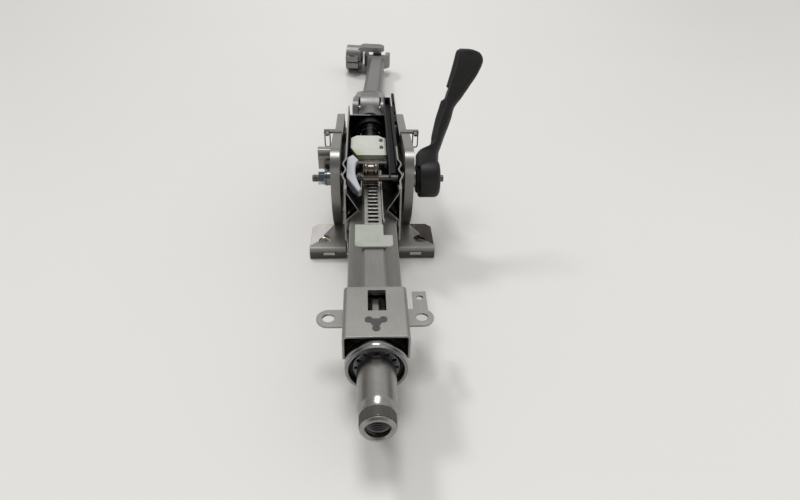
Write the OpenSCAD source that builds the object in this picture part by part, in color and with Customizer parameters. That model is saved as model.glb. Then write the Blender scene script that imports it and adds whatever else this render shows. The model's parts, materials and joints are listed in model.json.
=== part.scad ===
// Steering column with reach and tilt clamp, two cardan joints and a clamp yoke at the gear end.
// The column axis runs along Y from the wheel end to the gear end; the origin is the wheel seat on that axis.
// The column lies with its mounting wings down, so the clamp bolt and the rack are on top.

/* [Steering shaft] */
// Outside diameter of the wheel spline
spline_d = 22; // [20:0.5:23]
// Length of the wheel spline in front of the seat
spline_len = 10; // [8:0.5:16]
// Outside diameter of the shaft behind the wheel seat
shaft_d = 25; // [24:0.5:26]
// Length of the cone between spline and shaft
seat_cone_len = 6; // [3:0.5:7]
// Bore of the wheel bolt thread
thread_bore = 14.5; // [12:0.5:15.5]
// Depth of the wheel bolt thread
thread_depth = 24; // [18:1:30]
// Outside diameter of the shaft tube inside the jacket
shaft_tube_d = 22; // [20.5:0.5:23]
// Rear end of the shaft tube
shaft_tube_end = 290; // [275:1:300]
// Diameter of the lower shaft where it slides in the tube
slider_d = 16; // [14.5:0.5:17]
// Distance across the two flats of the sliding lower shaft
slider_flat = 13; // [12:0.5:14]
// Front end of the lower shaft
slider_front = 150; // [140:1:180]

/* [Upper bearing] */
// Outside diameter of the upper bearing
bearing_od = 37; // [36.5:0.25:37.5]
// Width of the upper bearing
bearing_w = 7; // [6:0.5:8]
// Front face of the upper bearing
bearing_front = 40; // [39:0.5:42]
// Diameter of the upper bearing balls
ball_d = 4; // [3.5:0.25:4.25]
// Number of balls in the upper bearing
ball_count = 14; // [8:1:18]
// Outside diameter of the star retaining ring
retainer_od = 31; // [29:0.5:33]

/* [Jacket] */
// Distance across the flats of the octagonal jacket
jacket_af = 40; // [39.5:0.25:42]
// Wall of the octagonal jacket
jacket_wall = 2; // [1.5:0.25:2.5]
// Front rim of the jacket
jacket_front = 36; // [34:0.5:37]
// Rear end of the jacket
jacket_end = 330; // [322:1:334]
// Length over which the round sleeve turns into the octagon
jacket_blend = 10; // [8:1:14]

/* [Switch bracket] */
// Front edge of the switch bracket
box_front = 42.8; // [41:0.2:44]
// Length of the switch bracket
box_len = 49; // [46:0.5:54]
// Sheet thickness of the switch bracket
box_sheet = 1.6; // [1.2:0.2:2]
// Gap between the jacket and the roof of the switch bracket
box_lift = 1; // [0.5:0.1:1.5]
// Height of the ear plates above the column axis
ear_z = 5; // [2:0.5:7]
// Distance of the ear holes from the column axis
ear_x = 32.2; // [31:0.2:36]
// Hole in each ear
ear_hole_d = 8.3; // [6:0.1:9]
// Radius of the ear ends
ear_r = 8.4; // [7.5:0.1:9]
// Distance of the ears behind the box front
ear_back = 37.2; // [36:0.2:40]
// Length of the tab behind the right ear
ear_tab_len = 19; // [14:1:24]
// Width of the window in the box
window_w = 12; // [9:0.5:14]
// Length of the window in the box
window_len = 21; // [16:1:22]

/* [Reach rack] */
// Width of the rack strip
rack_w = 14.4; // [13:0.2:15]
// Thickness of the rack strip
rack_t = 2; // [1.5:0.1:2.2]
// Rear end of the rack strip
rack_end = 264; // [258:1:268]
// Length of one rack slot across the strip
slot_l = 9; // [7:0.5:10]
// Width of one rack slot
slot_w = 4; // [3:0.25:4.25]
// Pitch of the rack slots
slot_pitch = 6; // [5.5:0.25:7]
// Near edge of the nylon clip at the front of the rack
clip_near = 141.5; // [138:0.5:144]
// Length of the nylon clip
clip_len = 31; // [28:0.5:34]
// Thickness of the nylon clip
clip_t = 1.6; // [1.4:0.1:2.4]
// Near edge of the absorber carrier
carrier_near = 273; // [271:0.5:276]
// Length of the absorber carrier
carrier_len = 46; // [40:1:50]
// Height of the absorber carrier above the jacket
carrier_rise = 6; // [5:0.5:7]
// Width of the nylon absorber block
block_w = 33; // [30:0.5:34]
// Thickness of the nylon absorber block
block_t = 4.5; // [4:0.25:5.5]
// Length of the nylon absorber block
block_len = 45; // [42:0.5:48]

/* [Swing housing] */
// Gap between the jacket and the housing walls
house_gap = 2.8; // [2.4:0.1:3.4]
// Sheet thickness of the housing
house_t = 1.5; // [1.2:0.1:1.8]
// Height of the housing walls above the jacket
house_rise = 17.8; // [15:0.2:20]
// Front edge of the housing
house_front = 202; // [200:1:204]
// Far wall of the housing, front face
far_wall_y = 403; // [400:1:406]
// Depth of one wall corrugation
wave_depth = 2.4; // [1.5:0.1:2.6]
// Pitch of the wall corrugations
wave_pitch = 22; // [18:1:22]
// Sheet thickness of the clamp leaves
leaf_t = 0.8; // [0.6:0.1:1.2]
// Depth of the clamp leaves along the column
leaf_depth = 7; // [5:0.5:10]
// Outside diameter of the lower bearing
low_bearing_od = 32; // [30:0.5:33]
// Width of the lower bearing
low_bearing_w = 9; // [7:0.5:10]

/* [Clamp] */
// Position of the clamp bolt along the column
bolt_y = 239; // [238:0.5:241]
// Height of the clamp bolt above the jacket
bolt_lift = 8; // [7.5:0.25:10]
// Diameter of the clamp bolt
bolt_d = 6; // [5:0.25:6.5]
// Width across flats of the clamp nut
nut_af = 10; // [9:0.5:12]
// Width of the pawl cam on the bolt
pawl_w = 13.6; // [10:0.2:14]
// Radius of the lever hub
hub_r = 17; // [15:0.5:18]
// Width of the lever hub
hub_w = 21.4; // [18:0.2:24]
// Slope of the lever arm above the column
lever_slope = 50; // [40:1:60]

/* [Mounting bracket] */
// Gap between the housing and the bracket cheeks
cheek_gap = 4; // [3.6:0.1:5.6]
// Sheet thickness of the bracket cheeks
cheek_t = 2.5; // [2:0.1:3]
// Width of the cheek flange
flange_w = 8.1; // [7:0.1:9]
// Top of the cheek shoulder above the jacket
shoulder_rise = 35; // [32:0.5:38]
// Position of the tilt pivot along the column
pivot_y = 395; // [390:1:397]
// Diameter of the tilt pivot bolts
pivot_d = 10; // [8:0.5:11]
// Depth of the resting plane below the jacket
floor_drop = 19; // [17:0.5:22]
// Half width of the mounting wings
wing_x = 57; // [54:0.5:62]
// Front lip of the mounting wings
lip_y = 209.5; // [207:0.5:212]
// Distance of each wing bolt hole from the column axis
wing_hole_x = 45; // [44:0.5:48]
// Diameter of the mounting bolt holes
mount_hole_d = 9; // [7:0.5:10]

/* [Cardan joints] */
// Position of the upper joint along the column
joint_y = 475; // [472:1:482]
// Width across the yoke ears
yoke_w = 42; // [41:0.5:45]
// Thickness of a yoke ear
yoke_ear_t = 7; // [6:0.5:7.5]
// Radius of a yoke ear
yoke_ear_r = 11.4; // [10.4:0.2:11.6]
// Half height of the band at the back of a stamped yoke
yoke_band = 15.5; // [14:0.5:17]
// Diameter of the cross pins
cross_pin_d = 9; // [8:0.5:10]
// Outside diameter of the bearing cups
cup_d = 15; // [13:0.5:16]
// Distance between the two joint centres
joint_span = 271; // [255:1:290]
// Sideways lean of the intermediate shaft
lean_side = 3.2; // [0:0.1:6]
// Diameter of the intermediate tube
mid_tube_d = 25; // [22:0.5:26]
// Distance across the flats of the intermediate tube
mid_tube_flat = 20; // [18:0.5:22]
// Angle to which the lower yoke is folded
fold_angle = 85; // [70:1:86]
// Outside diameter of the clamp hub
clamp_hub_d = 40; // [36:0.5:43]
// Length of the clamp hub
clamp_hub_len = 24; // [20:0.5:28]
// Bore of the clamp hub
clamp_bore_d = 18; // [15:0.5:20]

/* [Hidden] */
$fn = 64;
// Clearances: pressed or welded fits, running fits, free gaps, cut overrun and bolt holes
fit = 0.02;
run = 0.05;
free_gap = 0.3;
over = 1;
hole_gap = 0.4;
// Steering shaft
spline_r = spline_d / 2;
shaft_r = shaft_d / 2;
tube_r = shaft_tube_d / 2;
bore_r = thread_bore / 2;
tip_cone = 1.4;
tip_inset = 0.2;
tip_len = 2;
groove_w = 0.6;
groove_depth = 0.6;
groove_y = tip_len - spline_len;
mouth_depth = 1;
shaft_step = bearing_front + bearing_w + 11;
thread_end = thread_depth - spline_len;
relief_r = bore_r - 0.75;
slide_front = slider_front - 40;
key_w = 5;
key_len = 9;
key_depth = 0.6;
// Upper bearing
bearing_mid = bearing_front + bearing_w / 2;
ball_pitch = (bearing_od / 2 + shaft_r) / 2;
race_share = 0.3;
race_gap = race_share * ball_d;
seal_t = 0.8;
retainer_t = 1.2;
retainer_r = retainer_od / 2 - 0.5;
notch_count = 12;
notch_w = 3.2;
notch_depth = 1.6;
lock_od = shaft_tube_d + 10;
lock_len = 34;
lock_rim = 4;
lock_floor = 2;
lock_slots = 12;
lock_slot_w = 4.2;
// Jacket
jr = jacket_af / 2;
corner_r = jr / cos(22.5);
corner_soft = 0.5;
oct_start = bearing_front + bearing_w + 9;
blend_front = jacket_front + 8;
slit_w = slot_l - 1;
slit_inset = 3;
// Switch bracket
box_end = box_front + box_len;
box_top = jr + box_lift + box_sheet;
box_round = 3;
ear_t = 2;
ear_y = box_front + ear_back;
tab_w = 10;
tab_root = 3;
tab_hole_d = 5;
tab_hole_share = 0.65;
window_x = 0.9;
window_end = box_end - 3.6;
stake_y = box_front + 13;
stake_arm = 5.4;
stake_w = 4;
stake_lobe_r = 2.6;
stake_mid_r = 3.4;
stake_t = 0.4;
dimple_r = 0.9;
// Rack, clip and absorber
clip_far = clip_near + clip_len;
clip_left = -rack_w / 2 - 7.4;
clip_right = rack_w / 2 + 0.5;
clip_wide = rack_w / 2 + 7.6;
clip_step = clip_len / 2;
clip_round = 4;
slot_margin = 3;
slot_count = floor((rack_end - clip_far - slot_w - slot_margin) / slot_pitch) + 1;
strip_t = 1.2;
strip_h = 3.2;
strip_x = rack_w / 2 + free_gap;
strip_front = clip_far + 8;
strip_hook = 4;
strip_hook_turn = -80;
carrier_t = 1.4;
carrier_half = 14.2;
carrier_z = jr + carrier_rise;
carrier_slot = [4.4, 1.8];
carrier_slot_x = 9.8;
carrier_slot_y = carrier_near + 6.2;
leg_w = 2.4;
leg_h = 4;
feet_x = strip_x + strip_t + free_gap;
feet_inset = 8;
feet_drop = 2;
block_near = carrier_near + 8;
block_far = block_near + block_len;
block_right = carrier_half - carrier_t;
block_left = block_right - block_w;
block_cut = [6.2, 17];
block_far_cut = [5.5, 6];
rim_rise = 0.5;
nick = [3.4, 7];
nick_x = block_right - 3;
nick_ys = [block_near + 18, block_near + 34];
// Swing housing
bolt_z = jr + bolt_lift;
bolt_r = bolt_d / 2;
bolt_top = bolt_z + bolt_r + hole_gap;
house_in = jr + house_gap;
house_out = house_in + house_t;
house_top = jr + house_rise;
wall_low = -(jr - 6);
floor_low = -(jr + 4);
floor_front = bolt_y + 27;
floor_slope = 10;
wall_end = far_wall_y + 5;
wall_end_top = jr - 6;
wall_slope = 20;
far_wall_t = 2;
far_wall_top = jr + 1;
wave_front = bolt_y - 24;
wave_low = bolt_z - 4;
wave_steps = 24;
boss_r = house_in - 3.8;
journal_d = slider_d + 1;
low_bearing_end = far_wall_y - 2;
low_bearing_front = low_bearing_end - low_bearing_w;
low_ball_d = 4.5;
low_ball_count = 9;
low_ball_pitch = (low_bearing_od + journal_d) / 4;
low_race_gap = race_share * low_ball_d;
leaf_front = house_front + 0.5;
leaf_x = house_in - leaf_t / 2;
leaf_knee = 4;
leaf_tip = (jr + leaf_t / 2 + free_gap) / sqrt(2);
leaf_tip_drop = 2.2;
pad_t = -floor_low - house_t - jr - free_gap;
pad_len = 14;
pad_ys = [floor_front + 4, floor_front + 26];
rail_w = 7.8;
rail_wall = 1.4;
rail_h = 9;
rail_front = bolt_y + 6;
rail_end = far_wall_y + 12;
nose_len = 12;
nose_t = 1.6;
cover_w = 3;
cover_h = 4;
cover_lead = 58;
cover_tail = 25;
cover_front = far_wall_y - cover_lead;
cover_end = far_wall_y + cover_tail;
cover_slot = [1.4, 10];
cover_slot_steps = [22, 50];
cover_slot_ys = [for (step = cover_slot_steps) cover_front + step];
arm_lead = 27;
arm_tail = 32;
arm_front = bolt_y - arm_lead;
arm_far = bolt_y + arm_tail;
arm_foot_z = bolt_top - 7.4;
arm_tail_z = bolt_top + 1.8;
arm_t = 5.6;
arm_w = 8.2;
arm_head = 10.6;
arm_toe = 13.4;
spring_wire = 1.2;
spring_coil_r = bolt_r + 1.4;
spring_x = -9.8;
spring_turns = 3;
spring_pitch = spring_wire + 0.2;
spring_leg = 12;
spring_leg_turn = 115;
// Bracket
cheek_in = house_out + cheek_gap;
cheek_out = cheek_in + cheek_t;
flange_out = cheek_in + flange_w;
shoulder_z = jr + shoulder_rise;
shoulder_r = 18;
shoulder_turn = 81;
shoulder_bite = 0.1;
cheek_lead = 14;
cheek_front = bolt_y - cheek_lead;
floor_z = -(jr + floor_drop);
foot_z = floor_z + 11;
foot_t = 2;
foot_back = 40.5;
foot_run = 50;
foot_y = lip_y + foot_back;
foot_end = foot_y + foot_run;
front_run = foot_y - cheek_front;
front_r = (front_run * front_run + pow(bolt_z - foot_z, 2)) / (2 * front_run);
shoulder_mid = [cheek_front + shoulder_r, shoulder_z - shoulder_r];
tilt_deg = 3;
pivot_r = pivot_d / 2;
pivot_head_h = 6;
pivot_head_af = 1.6 * pivot_d;
pivot_boss_r = 16;
pivot_toe = 23;
bolt_arm = norm([pivot_y - bolt_y, bolt_z]);
slot_half = bolt_arm * sin(tilt_deg) + hole_gap;
slot_r = bolt_r + hole_gap + 0.2;
slot_turn = atan2(pivot_y - bolt_y, bolt_z);
bush_r = pivot_r + 1.5;
bush_flange_r = pivot_r + 4;
tab_back = 56;
tab_rise = 26;
tab_y = bolt_y + tab_back;
tab_x = flange_out + 9;
tab_t = 2;
tab_len = 6;
tab_z = jr + tab_rise;
cheek_step = [[tab_y + 7, tab_z], [tab_y + 17, tab_z - 10], [pivot_y - 3, jr + 7]];
finger_x = flange_out + 5.4;
finger_w = 3;
finger_len = 6;
loop_wire = 1.2;
loop_r = finger_w / 2 + free_gap + loop_wire / 2;
loop_drop = 12;
loop_y = tab_y - finger_len / 2;
inner_x = jr + 4;
bend_r = 3;
bend_swell = 0.02;
scallop_in = [wing_x - wing_hole_x, 4, 0];
scallop_back = [5, 13, 24];
scallop = [for (i = [0 : 2]) [wing_hole_x + scallop_in[i], lip_y + scallop_back[i]]];
inner_depth = 27;
inner_back = lip_y + inner_depth;
lip_slot = [11.5, 3.5];
lip_slot_x = 39.5;
lip_slot_z = floor_z + 5.5;
wing_hole_back = 16.5;
wing_hole_y = lip_y + wing_hole_back;
wing_depth = 44.5;
wing_end = lip_y + wing_depth;
wing_cut = 5;
plate_t = 2;
plate_front = lip_y + foot_t + 2;
bridge_back = 60;
bridge_y = pivot_y - bridge_back;
bridge_len = 50;
bridge_ear_h = 25;
bridge_ear_len = 30;
bridge_hole_x = 20;
bridge_hole_y = bridge_y + bridge_len / 2;
stop_back = 29;
stop_reach = 18.2;
stop_y = cheek_front + stop_back;
stop_x = cheek_out + stop_reach;
stop_z = jr + 6;
stop_h = 20;
stop_len = 12;
stop_plate_t = 5;
ridge_r = 2.3;
ridge_zs = [stop_z + stop_h - ridge_r, stop_z + stop_h - 3.4 * ridge_r];
eye_r = 4.6;
eye_wall = 1.8;
eye_x = cheek_out + 9;
// Clamp stack on the bolt
collar_r = 7;
nut_x = cheek_out + 9.9;
nut_h = 7;
nut_flange = 1.6;
cam_r = 8;
cam_t = 1.6;
ramp_h = 1;
ramp = [2.2, 4];
hub_x = flange_out + 2.2;
hub_end = hub_x + hub_w;
hub_edge = 1.5;
hub_round = 4;
bolt_left = nut_x + nut_h + 5.3;
bolt_right = hub_end + 3.7;
pawl_x = -1.2;
pawl_r = bolt_lift - rack_t - 0.6;
tooth = [[-4, -2], [-1.5, 0.2 - pawl_r], [1.5, 0.2 - pawl_r], [4, -2]];
lobe_r = 6.3;
lobe_y = 1.5;
lobe_z = 8;
spool_ring_r = 2.4;
// Lever stations: distance from the bolt, then the left and right edge beyond the hub's inner face
lever_stations = [[0, 1.4, 20], [18, 0.6, 21.4], [22, 3.4, 21.6], [30.5, 13, 24.6], [43, 15.7, 27.7],
    [55, 19.8, 30.6], [69, 23.6, 37.2], [76, 28.4, 41.6], [84, 29.3, 47.5], [94, 32.3, 55],
    [114, 38.4, 64.2], [118.5, 40.8, 62], [120.5, 45.4, 57.4]];
lever_end = 121;
lever_depth = [9, 6.5, 4.5, 2];
lever_reach = [22, 55, 110];
curve_steps = 5;
// Cardan joints
yo = yoke_w / 2;
yi = yo - yoke_ear_t;
fork_depth = yi + 7;
lower_band = yoke_ear_r - 1.4;
fork_back = 7.5;
band_front = 15.5;
band_full = 20;
neck_len = 5;
neck_sink = 2;
cup_sink = 0.3;
cup_floor = 1;
cup_rise = 0.5;
cross_body_r = cross_pin_d / 2 + 2.5;
cross_body_gap = 3;
cross_half = yo - cup_sink - cup_floor - 0.1;
hub_od = journal_d + 11;
hub_lead = 46;
hub_front = joint_y - hub_lead;
shaft_rear = joint_y - fork_depth - 3.5;
journal_front = low_bearing_front - 6;
drop = -floor_z - yo;
lean_down = asin(drop / joint_span);
mid_front = fork_depth + fork_back + neck_len;
mid_wall = 2.5;
joint2 = [joint_span * cos(lean_down) * sin(lean_side),
          joint_y + joint_span * cos(lean_down) * cos(lean_side), -drop];
clamp_depth = norm([yo, yoke_ear_r]) + 1.6;
clamp_round = 4;
lug_x = 27;
lug_h = 18;
lug_front = 3;
lug_back = 1;
slit = 2;
pinch_d = 8.4;
pinch_x = 5.5;

// Extrusions along each axis: a drawing in XZ, in YZ and in XY
module span_y(y0, y1) translate([0, y1, 0]) rotate([90, 0, 0]) linear_extrude(y1 - y0) children();
module span_x(x0, x1) translate([x0, 0, 0]) rotate([90, 0, 90]) linear_extrude(x1 - x0) children();
module span_z(z0, z1) translate([0, 0, z0]) linear_extrude(z1 - z0) children();
// Revolves about the column axis and about the X axis, drawn as radius and distance along the axis
module revolve_y() rotate([-90, 0, 0]) rotate_extrude() children();
module revolve_x() rotate([0, 90, 0]) rotate_extrude() children();
// Rods along Y and X
module rod_y(r, y0, y1) span_y(y0, y1) circle(r);
module rod_x(r, x0, x1) span_x(x0, x1) circle(r);
// Moves children to the clamp bolt and to the tilt pivot
module at_bolt() translate([0, bolt_y, bolt_z]) children();
module at_pivot() translate([0, pivot_y, 0]) children();
// Mirrors children to the left when side is -1
module on_side(side) mirror([side < 0 ? 1 : 0, 0, 0]) children();
// Both sides
module both_sides() for (side = [1, -1]) on_side(side) children();

// Point on a smooth curve through points, at the share t of the stretch that starts at point i
function curve_point(p, i, t) =
    let (a = p[max(i - 1, 0)], b = p[i], c = p[i + 1], d = p[min(i + 2, len(p) - 1)])
    b + t / 2 * (c - a + t * (2 * a - 5 * b + 4 * c - d + t * (3 * b - a - 3 * c + d)));
function smooth(p, steps) = concat(
    [for (i = [0 : len(p) - 2], k = [0 : steps - 1]) curve_point(p, i, k / steps)], [p[len(p) - 1]]);
function reversed(p) = [for (i = [len(p) - 1 : -1 : 0]) p[i]];

module octagon(across) rotate(22.5) circle(d = across / cos(22.5), $fn = 8);

// Round bar with two flats, as a drawing
module double_d(d, flat) intersection() {
    circle(d = d);
    square([flat, 2 * d], center = true);
}

// Rectangle from -half to half with round upper corners, as a drawing
module arch(half, top, bottom, r) {
    translate([-half, bottom]) square([2 * half, top - bottom - r]);
    translate([-half + r, bottom]) square([2 * (half - r), top - bottom]);
    for (s = [-1, 1]) translate([s * (half - r), top - r]) circle(r);
}

// Bent sheet drawn as a line of the given thickness through points, a little fuller in its bends
module bent_line(points, t) {
    for (i = [0 : len(points) - 2]) {
        step = points[i + 1] - points[i];
        translate(points[i]) rotate(atan2(step[1], step[0])) translate([0, -t / 2]) square([norm(step), t]);
    }
    for (i = [1 : len(points) - 2]) translate(points[i]) circle(t / 2 + bend_swell);
}

// Ball ring and its groove
module ball_ring(count, pitch, y, d) for (i = [0 : count - 1])
    rotate([0, i * 360 / count, 0]) translate([pitch, y, 0]) sphere(d = d);
module ball_groove(pitch, y, d) revolve_y() translate([pitch, y]) circle(d / 2 + run);
// Bearing ring between two radii
module bearing_ring(r_out, r_in, front, w, pitch, ball) difference() {
    ring_y(r_out, r_in, front, front + w);
    ball_groove(pitch, front + w / 2, ball);
}
module ring_y(r_out, r_in, y0, y1) span_y(y0, y1) difference() {
    circle(r_out);
    circle(r_in);
}

// Steering shaft with spline, grooved tip, cone seat, countersunk thread bore and a double-D bore behind
module steering_shaft() color("gray") difference() {
    revolve_y() polygon([[0, -spline_len], [spline_r - tip_cone, -spline_len],
        [spline_r - tip_inset, tip_cone - spline_len], [spline_r - tip_inset, groove_y],
        [spline_r - groove_depth, groove_y], [spline_r - groove_depth, groove_y + groove_w],
        [spline_r, groove_y + groove_w], [spline_r, 0], [shaft_r, seat_cone_len],
        [shaft_r, shaft_step], [tube_r, shaft_step], [tube_r, shaft_tube_end], [0, shaft_tube_end]]);
    rod_y(bore_r, -spline_len - over, thread_end);
    revolve_y() polygon([[0, -spline_len - over], [bore_r + mouth_depth + over, -spline_len - over],
        [bore_r, mouth_depth - spline_len], [0, mouth_depth - spline_len]]);
    rod_y(relief_r, thread_end - over, slide_front);
    span_y(slide_front - over, shaft_tube_end + over) double_d(slider_d + 2 * run, slider_flat + 2 * run);
    translate([-key_w / 2, jacket_front - key_len, shaft_r - key_depth]) cube([key_w, key_len, key_w]);
}

module upper_bearing_inner() color("silver")
    bearing_ring(ball_pitch - race_gap, shaft_r + fit, bearing_front, bearing_w, ball_pitch, ball_d);

// Outer ring with the seal lip that hides the balls
module upper_bearing_outer() color("silver") {
    bearing_ring(bearing_od / 2, ball_pitch + race_gap, bearing_front, bearing_w, ball_pitch, ball_d);
    ring_y(ball_pitch + race_gap + fit, ball_pitch - race_gap + free_gap,
        bearing_front, bearing_front + seal_t);
}

module upper_bearing_balls() color("silver") ball_ring(ball_count, ball_pitch, bearing_mid, ball_d);

// Star ring that holds the bearing on the shaft
module bearing_retainer() color("dimgray") {
    back = bearing_front - free_gap;
    difference() {
        ring_y(retainer_r, shaft_r + fit, back - retainer_t, back);
        for (i = [0 : notch_count - 1]) rotate([0, i * 360 / notch_count, 0])
            translate([shaft_r - over, back - retainer_t - over, -notch_w / 2])
                cube([notch_depth + over, retainer_t + 2 * over, notch_w]);
    }
}

// Slotted sleeve for the steering lock bolt, with a rib on top
module lock_sleeve() color("silver") difference() {
    ring_y(lock_od / 2, tube_r + fit, shaft_step + free_gap, shaft_step + lock_len);
    for (i = [0 : lock_slots - 1]) rotate([0, (i + 0.5) * 360 / lock_slots, 0])
        translate([tube_r + lock_floor, shaft_step + lock_rim, -lock_slot_w / 2])
            cube([lock_od, lock_len - 2 * lock_rim, lock_slot_w]);
}

module window_cut(top) translate([window_x - window_w / 2, window_end - window_len, 0])
    cube([window_w, window_len, top]);

// Octagonal jacket with soft corners, a round bearing sleeve at the wheel end and a slit under the rack
module jacket_tube() color("darkgray") difference() {
    union() {
        rod_y(jr, jacket_front, blend_front + jacket_blend / 2);
        intersection() {
            span_y(blend_front, jacket_end) intersection() {
                octagon(jacket_af);
                circle(corner_r - corner_soft);
            }
            revolve_y() polygon([[0, blend_front - over], [jr, blend_front],
                [corner_r + over, blend_front + jacket_blend], [corner_r + over, jacket_end + over],
                [0, jacket_end + over]]);
        }
    }
    rod_y(bearing_od / 2 + fit, jacket_front - over, bearing_front + bearing_w);
    rod_y(ball_pitch + race_gap, bearing_front, oct_start + over);
    span_y(oct_start, jacket_end + over) octagon(jacket_af - 2 * jacket_wall);
    window_cut(box_top);
    translate([-slit_w / 2, clip_far + slit_inset, 0])
        cube([slit_w, rack_end - clip_far - 2 * slit_inset, jr + over]);
}

module ear_outline() difference() {
    union() {
        translate([jr, ear_y - ear_r]) square([ear_x - jr, 2 * ear_r]);
        translate([ear_x, ear_y]) circle(ear_r);
    }
    translate([ear_x, ear_y]) circle(d = ear_hole_d);
}

// Sheet box over the jacket with a window and two ears for the switch carrier
module switch_bracket() color("lightgray") {
    difference() {
        span_y(box_front, box_end) difference() {
            arch(jr + box_sheet, box_top, ear_z - ear_t, box_round);
            arch(jr, jr + box_lift, ear_z - ear_t - over, box_round - box_sheet);
        }
        window_cut(box_top + over);
    }
    both_sides() difference() {
        span_z(ear_z - ear_t, ear_z) ear_outline();
        translate([0, ear_y - 2 * ear_r, ear_z - 2 * ear_t]) cube([jr, 4 * ear_r, 4 * ear_t]);
    }
    span_z(ear_z - ear_t, ear_z) difference() {
        translate([ear_x - tab_w / 2, ear_y + ear_r - tab_root]) square([tab_w, ear_tab_len + tab_root]);
        translate([ear_x, ear_y + ear_r + ear_tab_len * tab_hole_share]) circle(d = tab_hole_d);
        translate([ear_x, ear_y]) circle(d = ear_hole_d);
    }
}

// Three-lobed staked mark on the box, dimpled at each lobe
module stake_mark() color("dimgray") translate([0, stake_y, box_top]) difference() {
    span_z(0, stake_t) {
        circle(stake_mid_r);
        for (a = [30, 150, 270]) rotate(a) {
            translate([0, -stake_w / 2]) square([stake_arm, stake_w]);
            translate([stake_arm, 0]) circle(stake_lobe_r);
        }
    }
    for (a = [30, 150, 270]) rotate(a)
        translate([stake_arm, 0, stake_t / 2]) cylinder(r = dimple_r, h = stake_t);
}

// Slot with round ends, as a drawing
module slot_hole() {
    square([slot_l - slot_w, slot_w], center = true);
    for (s = [-1, 1]) translate([s * (slot_l - slot_w) / 2, 0]) circle(slot_w / 2);
}

// Rack strip with a row of slots for the pawl
module rack_strip() color("silver") span_z(jr, jr + rack_t) difference() {
    translate([-rack_w / 2, clip_far]) square([rack_w, rack_end - clip_far]);
    for (i = [0 : slot_count - 1]) translate([0, clip_far + slot_w + i * slot_pitch]) slot_hole();
}

// L-shaped nylon clip at the front of the rack
module rack_clip() color("honeydew") span_z(jr, jr + clip_t) {
    side = clip_near + clip_round;
    translate([clip_left, side]) square([clip_right - clip_left, clip_len - clip_round]);
    translate([clip_left + clip_round, clip_near])
        square([clip_wide - clip_left - 2 * clip_round, clip_step]);
    translate([clip_left, side]) square([clip_wide - clip_left, clip_step - clip_round]);
    for (x = [clip_left + clip_round, clip_wide - clip_round]) translate([x, side]) circle(clip_round);
}

// Upright energy strip beside the rack, with a bent foot
module absorber_strip() color("lightgray") span_z(jr, jr + strip_h) translate([strip_x, strip_front]) {
    square([strip_t, rack_end - strip_front]);
    rotate(strip_hook_turn) square([strip_hook, strip_t]);
}

// Sheet carrier that straddles the rack on two feet, with a rim beside the block and short legs
module absorber_carrier() color("silver") {
    span_z(carrier_z - carrier_t, carrier_z) difference() {
        translate([-carrier_half, carrier_near]) square([2 * carrier_half, carrier_len]);
        for (s = [-1, 1]) translate([s * carrier_slot_x, carrier_slot_y]) square(carrier_slot, center = true);
    }
    translate([block_right, block_near, carrier_z])
        cube([carrier_t, carrier_near + carrier_len - block_near, block_t + rim_rise]);
    both_sides() {
        translate([carrier_half - leg_w, carrier_near, carrier_z - carrier_t - leg_h])
            cube([leg_w, carrier_t, leg_h]);
        difference() {
            foot_low = jr * sqrt(2) - feet_x - feet_drop;
            translate([feet_x, carrier_near + feet_inset, foot_low])
                cube([carrier_t, carrier_len - 2 * feet_inset, carrier_z - carrier_t - foot_low]);
            span_y(carrier_near, carrier_near + carrier_len) octagon(jacket_af);
        }
    }
}

// Nylon block on the carrier with cut corners and two nicks
module absorber_block() color("ivory") span_z(carrier_z, carrier_z + block_t) difference() {
    polygon([[block_left + block_cut[0], block_near], [block_right, block_near],
        [block_right, block_far - block_far_cut[1]], [block_right - block_far_cut[0], block_far],
        [block_left + block_far_cut[0], block_far], [block_left, block_far - block_far_cut[1]],
        [block_left, block_near + block_cut[1]]]);
    for (y = nick_ys) translate([nick_x, y]) square(nick, center = true);
}

function wave(y) = wave_depth * (1 - cos(360 * (y - wave_front) / wave_pitch)) / 2;
wave_ys = [for (i = [0 : 2 * wave_steps]) wave_front + i * wave_pitch / wave_steps];
wave_end = wave_front + 2 * wave_pitch;

module wall_outline() polygon([[house_front, wall_low], [floor_front - floor_slope, wall_low],
    [floor_front, floor_low], [wall_end, floor_low], [wall_end, wall_end_top],
    [wall_end - wall_slope, house_top], [house_front, house_top]]);

// One housing wall: flat sheet with a corrugated stretch round the clamp bolt
module house_wall() {
    difference() {
        span_x(house_in, house_out) wall_outline();
        translate([0, wave_front, wave_low]) cube([2 * house_out, wave_end - wave_front, house_top]);
    }
    span_z(wave_low, house_top) polygon(concat([for (y = wave_ys) [house_in + wave(y), y]],
        [for (i = [len(wave_ys) - 1 : -1 : 0]) [house_out + wave(wave_ys[i]), wave_ys[i]]]));
}

// Swing housing: two walls, floor, far wall and bearing boss
module swing_housing() color("dimgray") difference() {
    union() {
        both_sides() house_wall();
        translate([-house_out, floor_front, floor_low])
            cube([2 * house_out, far_wall_y - floor_front, house_t]);
        span_y(far_wall_y, far_wall_y + far_wall_t)
            translate([-house_in, floor_low]) square([2 * house_in, far_wall_top - floor_low]);
        rod_y(boss_r, low_bearing_front - over, far_wall_y);
    }
    rod_y(low_bearing_od / 2 + fit, low_bearing_front - 2 * over, low_bearing_end);
    rod_y(low_ball_pitch + low_race_gap, low_bearing_front, far_wall_y + far_wall_t + over);
    at_bolt() rod_x(bolt_r + hole_gap, -cheek_in, cheek_in);
    at_pivot() both_sides() rod_x(bush_r + fit, house_in - over, house_out + over);
}

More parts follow.
